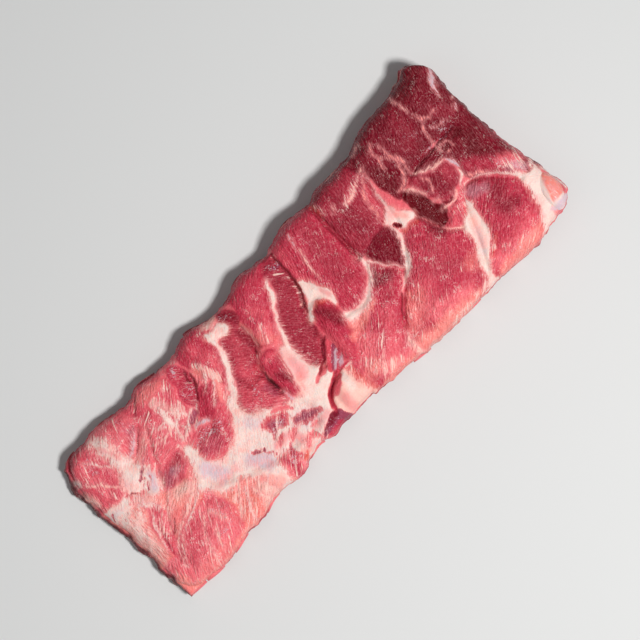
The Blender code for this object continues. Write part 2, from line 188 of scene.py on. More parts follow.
# The muscles: tone, direction of the grain in degrees from +X, marbling from 0 to 1, and the outline.
MUSCLES = [
    ("pink", 46, 0.7, [(-186, -66), (-186, 70), (-50, 70), (-50, -66)]),
    ("rose", 62, 0.6, [
        (-176, 58), (-164, 62), (-150, 61), (-149, 52), (-152, 43), (-154, 35), (-157, 26), (-160, 19),
        (-165, 19), (-168, 27), (-171, 34), (-173, 42), (-174, 50),
    ]),
    ("rose", 70, 0.5, [(-181, 42), (-174, 42), (-171, 34), (-169, 27), (-168, 21), (-182, 21)]),
    ("pink", 66, 0.55, [
        (-140, 61), (-124, 60), (-121, 50), (-122, 43), (-129, 36), (-138, 31), (-141, 36), (-138, 44),
        (-139, 52),
    ]),
    ("pink", 30, 0.7, [
        (-124, 60), (-110, 59), (-107, 47), (-109, 40), (-112, 30), (-113, 20), (-118, 16), (-127, 18),
        (-135, 22), (-137, 27), (-129, 33), (-121, 40),
    ]),
    ("rose", 40, 0.6, [(-120, 60), (-90, 60), (-89, 52), (-98, 45), (-108, 46), (-118, 47)]),
    ("rose", 46, 0.8, [
        (-108, 46), (-98, 46), (-89, 51), (-86, 44), (-91, 36), (-92, 27), (-98, 22), (-105, 26),
    ]),
    ("salmon", 80, 0.7, [
        (-181, 10), (-164, 12), (-158, 8), (-160, -4), (-165, -20), (-168, -32), (-181, -36),
    ]),
    ("rose", 46, 0.6, [
        (-160, -2), (-152, 4), (-146, -2), (-140, -8), (-146, -18), (-156, -26), (-165, -32),
        (-166, -20),
    ]),
    ("salmon", 40, 0.6, [
        (-150, 6), (-140, 1), (-128, -2), (-119, 0), (-117, -8), (-124, -16), (-134, -20), (-150, -22),
        (-158, -22), (-150, -10),
    ]),
    ("pink", 56, 0.6, [
        (-184, -32), (-168, -30), (-160, -24), (-148, -22), (-134, -19), (-122, -19), (-118, -27),
        (-119, -40), (-124, -52), (-126, -66), (-186, -66),
    ]),
    ("salmon", 42, 0.8, [
        (-121, -22), (-110, -27), (-100, -27), (-93, -35), (-86, -44), (-82, -64), (-126, -64),
        (-122, -48), (-118, -38),
    ]),
    ("pink", 20, 0.7, [(-131, 16), (-122, 19), (-112, 16), (-112, 9), (-120, 10), (-130, 10)]),
    ("rose", 40, 0.5, [
        (-140, 3), (-137, 8), (-131, 12), (-121, 14), (-114, 12), (-114, 6), (-121, 1), (-130, -1),
        (-137, 0),
    ]),
    ("crimson", 62, 0.35, [
        (-70, 58), (-61, 61), (-50, 58), (-49, 46), (-52, 34), (-57, 25), (-63, 18), (-70, 26),
        (-72, 40), (-74, 50),
    ]),
    ("crimson", 40, 0.2, [
        (-91, 19), (-84, 24), (-78, 29), (-70, 27), (-67, 23), (-71, 17), (-77, 12), (-82, 9), (-88, 9),
    ]),
    ("crimson", 50, 0.35, [
        (-28, 60), (12, 60), (8, 51), (5, 46), (3, 41), (-1, 37), (-6, 31), (-12, 24), (-18, 15),
        (-25, 12), (-33, 17), (-32, 21), (-30, 29), (-29, 36), (-28, 42), (-26, 49),
    ]),
    ("crimson", 63, 0.3, [
        (18, 60), (17, 50), (15, 42), (14, 34), (14, 26), (16, 20), (20, 14), (22, 8), (20, 2),
        (19, -4), (20, -10), (26, -12), (32, -12), (38, -9), (42, -6), (46, -2), (50, 4), (50, 18),
        (50, 28), (51, 38), (53, 48), (53.5, 60),
    ]),
    ("red", 76, 0.25, [
        (53, 62), (94, 62), (92, 40), (88, 28), (84, 14), (78, 8), (66, 10), (56, 6), (50, 8), (50, 26),
        (52, 40),
    ]),
    ("maroon", 62, 0.15, [
        (54, 5), (62, 10), (72, 10), (78, 7), (77, -3), (71, -12), (64, -19), (60, -11), (55, -1),
    ]),
    ("crimson", 46, 0.45, [
        (18, -14), (30, -15), (42, -8), (51, 2), (54, -1), (59, -9), (63, -19), (54, -26), (46, -33),
        (41, -39), (38, -45), (34, -62), (30, -70), (-9, -70), (-9, -42), (-8, -33), (-1, -31),
        (6, -27), (13, -18),
    ]),
    ("crimson", 50, 0.45, [
        (80, -1), (86, -1.5), (92.5, -2), (96, -11), (99, -20), (108, -28), (108, -36), (104, -46),
        (98, -54), (95, -62), (93, -78), (26, -78), (34, -60), (38, -45), (42, -38), (50, -31),
        (58, -25), (64, -21), (72, -13), (77, -5),
    ]),
    ("maroon", 66, 0.25, [
        (92, 66), (182, 78), (182, 16), (150, 18), (122, 20), (106, 17), (96, 12), (92, 22), (91, 40),
    ]),
    ("maroon", 76, 0.25, [
        (134, 18), (182, 18), (182, -36), (157, -36), (150, -28), (143, -18), (134, -11), (133, 4),
    ]),
    ("deep", 82, 0.1, [
        (95, 3), (96, 11), (99, 15), (102, 14), (104, 10), (106, 2), (107, -5), (110, -10), (109, -14),
        (106, -17), (102, -20), (99, -20), (97, -13), (95, -6), (92.5, -2),
    ]),
    ("red", 68, 0.2, [
        (106, 16), (112, 17), (117, 12), (122, 9), (130, 8), (132, 4), (131, -4), (128, -8), (121, -10),
        (116, -13), (111, -11), (109.5, -5), (107, 1), (105, 8), (104, 14),
    ]),
    ("maroon", 10, 0.3, [(108, 18), (120, 20), (133, 18), (132, 9), (122, 9.5), (117, 13)]),
    ("rose", 74, 0.5, [
        (106, -17), (110, -13), (116, -14), (122, -10), (128, -9), (133, -11), (126, -15), (122, -22),
        (118, -24), (110, -28), (103, -23), (99, -20),
    ]),
    ("crimson", 36, 0.35, [
        (121, -25), (124, -18), (127, -14), (131, -11.5), (136, -13), (142, -17), (146, -22),
        (150, -28), (155, -36), (155, -44), (152, -54), (147, -64), (140, -78), (94, -78), (96, -62),
        (100, -55), (108, -48), (114, -43), (118, -36), (121, -30),
    ]),
    ("red", -42, 0.25, [
        (4, 50), (10, 53), (17, 50), (14, 44), (14, 38), (13, 30), (11, 22), (7, 15), (3, 10), (1, 4),
        (0, -4), (-1, -9), (-6, -12), (-10, -16), (-14, -20), (-18, -17), (-21, -12), (-22, -5),
        (-21, 2), (-19, 8), (-14, 17), (-9, 24), (-5, 29), (0, 33), (2, 38), (2, 44),
    ]),
    ("red", -44, 0.25, [
        (-36, 52), (-31, 51), (-28, 46), (-27, 40), (-30, 36), (-32, 30), (-33, 24), (-34, 19),
        (-38, 17), (-41, 14), (-45, 10), (-44, 5), (-45, 0), (-44, -8), (-45, -16), (-50, -20),
        (-56, -16), (-62, -12), (-67, -8), (-70, -3), (-70, 2), (-66, 8), (-60, 13), (-57, 19),
        (-54, 26), (-50, 32), (-48, 38), (-44, 41), (-38, 41), (-39, 47),
    ]),
    ("crimson", -50, 0.5, [
        (-80, 53), (-75, 47), (-74, 38), (-78, 31), (-84, 23), (-88, 21), (-91, 27), (-91, 34),
        (-88, 39), (-86, 45), (-84, 51),
    ]),
    ("rose", 22, 0.5, [
        (-110, 8), (-104, 11), (-97, 12), (-90, 9), (-84, 10), (-77, 14), (-73, 9), (-77, 0), (-82, -6),
        (-89, -10), (-97, -11.5), (-104, -9.5), (-109, -4),
    ]),
    ("crimson", 72, 0.1, [
        (2, 3), (5, 7), (9, 9.5), (13, 10), (17, 7.5), (18.5, 3), (18, -3), (17, -9), (15, -16),
        (11, -23), (7, -27), (3, -32), (-1, -32), (-2, -27), (-1, -20), (0, -12), (0.5, -4),
    ]),
    ("crimson", 70, 0.15, [
        (-43, 8), (-40, 12), (-36, 14), (-30, 13), (-27, 10), (-26, 5), (-29, 1), (-31, -6), (-34, -14),
        (-37, -21), (-42, -20), (-43, -13), (-44, -5), (-42, 1),
    ]),
]

# Broad soft tints: tone, strength, softness, and a centre line with half widths.
WASHES = [
    ("maroon", 0.6, 4, [(-174, 57, 2), (-164, 60, 2), (-154, 60, 1)]),
    ("crimson", 0.35, 6, [(-157, 50, 2), (-156, 36, 2), (-162, 24, 3)]),
    ("pink", 0.6, 6, [(-166, 52, 3), (-165, 38, 3), (-165, 28, 2)]),
    ("cream", 0.9, 4, [(-177, 47, 2), (-173, 45, 2)]),
    ("peach", 0.8, 5, [(-178, 38, 2), (-176, 28, 2)]),
    ("rose", 0.7, 6, [(-146, 57, 3), (-146, 44, 2)]),
    ("crimson", 0.5, 5, [(-136, 56, 3), (-126, 55, 3)]),
    ("lilac", 0.3, 6, [(-130, 44, 3), (-126, 42, 3)]),
    ("purple", 0.5, 3, [(-138, 34, 1), (-130, 38, 1.5), (-124, 43, 1)]),
    ("crimson", 0.7, 5, [(-117, 45, 2), (-111, 42, 3)]),
    ("peach", 0.5, 5, [(-137, 27, 2), (-128, 31, 2), (-120, 37, 1)]),
    ("maroon", 0.6, 7, [(-134, 4, 3), (-127, 6, 4.4), (-118, 10, 2.4)]),
    ("purple", 0.6, 6, [(-136, 3, 2.4), (-131, 6, 3)]),
    ("pink", 0.6, 5, [(-131, 3, 1), (-125, 3, 1.2)]),
    # Painted shade along the crease from (-118, 48) to (-109, 56).
    ("maroon", 0.5, 3, [(-119, 47, 1), (-109, 56, 1)]),
    ("salmon", 0.5, 5, [(-110, 53, 3), (-100, 50, 4), (-92, 50, 2)]),
    ("peach", 0.6, 5, [(-104, 44, 2), (-101, 36, 3), (-99, 28, 3)]),
    ("rose", 0.6, 5, [(-92, 44, 2), (-94, 34, 1.6)]),
    ("cream", 1.0, 5, [(-152, 20, 5), (-147, 27, 4), (-142, 24, 3)]),
    ("peach", 0.8, 8, [(-173, -6, 4), (-172, -18, 4)]),
    ("rose", 0.7, 5, [(-160, -6, 2), (-164, -18, 2), (-167, -28, 2)]),
    ("peach", 0.8, 6, [(-156, 10, 3), (-152, 4, 3)]),
    ("peach", 0.9, 8, [(-134, -6, 5), (-127, -9, 5)]),
    ("orange", 0.4, 5, [(-148, -12, 2), (-138, -16, 3), (-128, -17, 2)]),
    ("rose", 0.6, 4, [(-124, -3, 2), (-119, -2, 2)]),
    ("red", 0.5, 5, [(-152, -20, 2), (-160, -28, 3), (-166, -36, 2)]),
    ("crimson", 0.6, 7, [(-144, -24, 4), (-152, -34, 5), (-162, -41, 3)]),
    ("lilac", 0.35, 5, [(-128, 5, 2), (-125, 4, 2)]),
    ("crimson", 0.5, 6, [(-126, -24, 3), (-121, -34, 2), (-124, -46, 3)]),
    ("pink", 0.8, 6, [(-132, -26, 4), (-126, -36, 5), (-128, -46, 3)]),
    ("salmon", 0.9, 6, [(-176, -44, 4), (-174, -54, 4), (-150, -57, 2), (-126, -55, 3)]),
    ("rose", 0.5, 8, [(-138, -28, 5), (-150, -38, 6)]),
    ("salmon", 0.8, 7, [(-112, -36, 5), (-106, -48, 6)]),
    ("salmon", 0.6, 6, [(-146, -10, 4), (-134, -14, 5)]),
    ("salmon", 0.4, 6, [(-140, -50, 4), (-158, -50, 4)]),
    ("peach", 0.5, 4, [(-130, -28, 1.5), (-127, -37, 2)]),
    ("orange", 0.35, 6, [(-114, -32, 4), (-112, -46, 5), (-108, -38, 3)]),
    ("peach", 0.9, 6, [(-98, -44, 4), (-92, -50, 5), (-102, -52, 3)]),
    ("maroon", 0.4, 5, [(-104, 3, 3), (-96, 6, 3), (-90, 1, 2)]),
    ("purple", 0.35, 5, [(-104, -2, 3), (-94, -3, 4)]),
    ("crimson", 0.4, 5, [(-100, -6, 3), (-90, -7, 3)]),
    ("salmon", 0.6, 4, [(-77, -1, 1.5), (-81, -7, 1.5)]),
    ("salmon", 0.8, 6, [(-70, 36, 3), (-66, 26, 3), (-72, 16, 3)]),
    ("pink", 0.7, 6, [(-58, 36, 3), (-61, 26, 3)]),
    ("crimson", 0.5, 7, [(-57, 56, 4), (-55, 46, 3)]),
    ("rose", 0.7, 7, [(-63, 50, 4), (-62, 38, 4)]),
    ("rose", 0.45, 8, [(-40, 34, 4), (-44, 20, 5)]),
    ("pink", 0.6, 7, [(-164, 26, 4), (-162, 20, 3)]),
    ("pink", 0.9, 6, [(-136, 52, 4), (-134, 44, 4)]),
    ("peach", 0.8, 4, [(-48, 53, 2), (-41, 52, 3)]),
    ("rose", 0.8, 8, [(-61, 5, 5), (-62, -4, 6), (-54, -9, 5), (-50, 16, 4)]),
    ("pink", 0.8, 4, [(-54, -16, 3), (-48, -17, 3)]),
    ("maroon", 0.6, 4, [(-36, 34, 1.5), (-35, 22, 1.5)]),
    ("maroon", 0.6, 4, [(-35, 48, 3), (-32, 44, 2)]),
    ("purple", 0.5, 4, [(-49, -2, 2), (-48, -9, 2)]),
    ("crimson", 0.8, 8, [(-10, 53, 8), (2, 51, 4)]),
    ("rose", 0.7, 6, [(-20, 36, 4), (-16, 30, 4)]),
    ("pink", 0.9, 7, [(-24, 22, 5), (-18, 20, 3), (-26, 16, 3)]),
    ("salmon", 0.5, 7, [(-29, 19, 3), (-22, 14, 2)]),
    ("salmon", 0.8, 4, [(-30, 36, 0.6), (-31, 20, 1)]),
    ("rose", 0.5, 5, [(20, 50, 3), (18, 38, 3), (17, 26, 2)]),
    ("pink", 0.6, 5, [(17, 24, 1.5), (20, 17, 1.5)]),
    ("red", 0.7, 9, [(42, 44, 6), (38, 26, 7), (36, 8, 7)]),
    ("maroon", 0.9, 5, [(50, -4, 3), (46, -11, 3), (54, -12, 4)]),
    ("red", 0.5, 7, [(50, -17, 4), (42, -23, 3)]),
    ("salmon", 1.0, 6, [(17, -17, 3), (27, -18, 3), (36, -16, 1), (12, -24, 3)]),
    ("pink", 1.0, 9, [(16, -30, 6), (4, -42, 6)]),
    ("rose", 0.8, 8, [(36, -28, 5), (28, -38, 4)]),
    ("pink", 1.0, 9, [(24, -46, 6), (12, -53, 6), (28, -56, 5)]),
    ("salmon", 0.7, 7, [(8, -46, 4), (18, -56, 4)]),
    ("orange", 0.7, 4, [(-6, -34, 2), (-6, -44, 2), (-5, -56, 2)]),
    ("salmon", 1.0, 5, [(-2, -59, 2), (16, -60, 3), (30, -61, 3)]),
    ("peach", 0.9, 4, [(33, -50, 1.5), (33, -60, 3)]),
    ("rose", 0.9, 10, [(62, -34, 7), (54, -42, 8)]),
    ("pink", 1.0, 9, [(52, -46, 6), (62, -54, 7), (80, -58, 5)]),
    ("red", 0.5, 12, [(86, -22, 6), (78, -34, 6), (88, -40, 5)]),
    ("orange", 0.6, 3, [(80, -2, 1), (86, -3, 1), (92, -4, 1)]),
    ("maroon", 0.7, 8, [(92, -12, 3), (95, -20, 3)]),
    ("salmon", 1.0, 8, [(36, -60, 5), (60, -62, 6), (84, -65, 4)]),
    ("peach", 0.8, 4, [(40, -66, 2), (64, -69, 2), (84, -70, 2)]),
    ("salmon", 0.9, 3, [(42, -44, 1), (48, -38, 1), (55, -31, 1)]),
    ("maroon", 0.6, 6, [(60, 54, 3), (80, 55, 3), (92, 54, 3)]),
    ("maroon", 0.5, 8, [(60, 30, 5), (66, 18, 4), (68, 46, 4)]),
    ("rose", 0.8, 5, [(86, 34, 1.5), (82, 24, 2.5), (80, 14, 2)]),
    ("rose", 0.7, 5, [(70, 37, 2), (80, 39, 2)]),
    ("red", 0.35, 9, [(106, 40, 6), (124, 34, 7), (130, 48, 6)]),
    ("red", 0.4, 6, [(150, 34, 4), (156, 26, 4)]),
    ("deep", 0.7, 7, [(144, 56, 5), (154, 60, 5), (162, 60, 4)]),
    ("deep", 0.5, 6, [(98, 34, 4), (97, 22, 3)]),
    ("deep", 0.8, 8, [(152, 6, 5), (148, -2, 4), (154, -8, 2)]),
    ("red", 0.3, 6, [(164, 6, 3), (162, -6, 3)]),
    ("crimson", 0.7, 7, [(138, -3, 3), (144, -12, 4), (152, -20, 3)]),
    ("pink", 0.9, 7, [(156, -20, 4), (162, -26, 5), (158, -32, 4)]),
    ("lilac", 0.45, 5, [(155, -26, 3), (162, -32, 3)]),
    ("pink", 0.8, 4, [(167, -4, 1), (168, -18, 1.5), (168, -28, 1.5)]),
    ("maroon", 0.7, 7, [(112, 5, 4), (120, 3, 5), (118, -5, 4)]),
    ("lilac", 0.35, 6, [(128, -18, 4), (134, -22, 3)]),
    ("maroon", 0.7, 9, [(138, -28, 6), (133, -36, 6), (142, -42, 4)]),
    ("crimson", 0.7, 9, [(126, -30, 4), (124, -42, 4)]),
    ("rose", 1.0, 9, [(108, -55, 6), (126, -59, 7), (142, -57, 5)]),
    ("pink", 0.9, 9, [(106, -61, 5), (130, -65, 5)]),
    ("salmon", 0.9, 7, [(104, -67, 4), (126, -67, 6), (140, -66, 5)]),
    ("orange", 0.5, 4, [(118, -46, 1), (112, -50, 1), (106, -54, 1)]),
    ("orange", 0.7, 3, [(6, 8, 1), (11, 9, 1.5), (16, 6, 1)]),
    ("maroon", 0.85, 7, [(8, 5, 3), (12, -2, 4), (12, -9, 3)]),
    ("rose", 0.3, 6, [(4, -18, 2), (1, -26, 2)]),
    ("rose", 0.7, 4, [(-39, 9, 2), (-34, 10, 3), (-29, 8, 1.5)]),
    ("maroon", 0.8, 4, [(-39, -3, 2.5), (-36, -9, 2.5)]),
    ("orange", 0.5, 3, [(54, 52, 1), (54, 44, 0.8)]),
    ("maroon", 0.5, 10, [(112, 42, 6), (112, 22, 7)]),
    ("maroon", 0.25, 8, [(112, 2, 4)]),
    ("maroon", 0.25, 8, [(141, 2, 4)]),
    ("maroon", 0.22, 8, [(56, 6, 4), (56, -12, 4)]),
    ("rose", 0.3, 8, [(126, 2, 4)]),
    ("salmon", 0.5, 8, [(-6, -48, 4), (4, -46, 4)]),
    ("salmon", 0.45, 8, [(38, -48, 4), (46, -46, 4), (56, -36, 5)]),
    ("salmon", 0.55, 8, [(94, -48, 4), (102, -46, 4)]),
    ("crimson", 0.45, 8, [(112, -19, 4), (113, -26, 4)]),
    ("rose", 0.45, 8, [(14, -48, 4), (28, -46, 5)]),
    ("crimson", 0.5, 8, [(-84, 6, 5), (-84, -2, 5)]),
    ("crimson", 0.35, 12, [(-128, 42, 7), (-112, 36, 7), (-100, 26, 6), (-112, 22, 6), (-126, 26, 6)]),
    ("crimson", 0.28, 12, [(-154, 42, 7), (-154, 24, 6)]),
    ("rose", 0.4, 8, [(-154, -9, 5), (-140, -22, 6)]),
    ("pink", 0.4, 8, [(0, -9, 4), (0, -24, 4)]),
    ("orange", 0.3, 12, [(-118, -46, 7), (-104, -46, 6)]),
    ("rose", 0.4, 10, [(27, -46, 5), (30, -45, 5)]),
    ("crimson", 0.3, 8, [(154, -20, 4), (154, -25, 4)]),
    ("red", 0.3, 8, [(56, -8, 4), (56, -14, 4)]),
]

# Broad fat: tone, softness, and the outline.
FAT_AREAS = [
    ("cream", 1.6, [
        (-113, 10), (-109, 8), (-110, -3), (-105, -10), (-99, -12), (-90, -11), (-83, -7), (-77, 0),
        (-73, 8), (-69, 12), (-66, 8), (-70, 2), (-70, -4), (-66, -10), (-60, -13), (-52, -20),
        (-46, -20), (-40, -22), (-36, -20), (-32, -10), (-29, 0), (-26, 6), (-22, 4), (-21.5, -4),
        (-22, -11), (-18, -18), (-12, -23), (-11, -27), (-20, -31), (-27, -35), (-32, -41), (-34, -44),
        (-40, -45), (-48, -49), (-56, -54), (-64, -54), (-68, -46), (-70, -38), (-78, -38), (-82, -46),
        (-84, -58), (-90, -58), (-90, -48), (-94, -38), (-100, -29), (-108, -29), (-117, -26),
        (-120, -20), (-124, -12), (-119, -6), (-116, 2),
    ]),
    ("cream", 0.9, [
        (11, 22), (14, 25), (17, 20), (19.5, 13), (22, 9), (20.5, 2), (18.5, 0), (18.7, 5), (16, 9),
        (12, 11), (9, 10.5), (5, 7.5), (2, 3), (0.5, 4), (4, 8.5), (8, 12), (10, 15), (10, 19),
    ]),
    ("cream", 0.9, [
        (84, 17), (86, 14), (87, 10), (90, 6), (94, 2), (92, -1), (88, 0), (83, -1), (80, 2), (82, 5),
        (80, 6.5), (78, 9), (80, 11), (82, 14),
    ]),
    ("cream", 1.1, [
        (110, -28), (116, -25), (120, -20), (122, -24), (119, -33), (117, -39), (114, -44), (109, -48),
        (103, -53), (98, -58), (97, -64), (98, -72), (82, -72), (89, -66), (94, -60), (98, -52),
        (102, -46), (106, -40), (107, -34), (108, -30),
    ]),
    ("cream", 1.1, [
        (154, -32), (157, -35), (162, -38), (168, -36), (166, -40), (163, -46), (160, -53), (156, -59),
        (152, -65), (149, -74), (138, -74), (143, -66), (146.6, -61), (150, -55), (151.6, -48),
        (153, -42), (153, -37),
    ]),
    ("peach", 1.2, [
        (-27, -41), (-22, -40), (-17, -38), (-13, -33), (-9, -31), (-8, -36), (-8, -44), (-7, -58),
        (-27, -58), (-29, -50), (-31, -46),
    ]),
    ("cream", 1.0, [(-51, 47), (-46, 46), (-40, 47), (-38, 43), (-40, 40), (-46, 41.5), (-50, 39)]),
    ("cream", 3.2, [
        (-150, 57), (-147, 57), (-144, 48), (-142, 38), (-141, 31), (-148, 30), (-149, 40),
    ]),
    ("cream", 1.8, [
        (-157, 20), (-153, 26), (-146, 31), (-140, 30), (-139, 24), (-136, 18), (-137, 10), (-142, 4),
        (-148, 6), (-150, 12), (-155, 14),
    ]),
    ("cream", 1.2, [
        (-180, 19), (-173, 20), (-166, 17), (-160, 17), (-162, 12), (-170, 11), (-180, 10),
    ]),
]

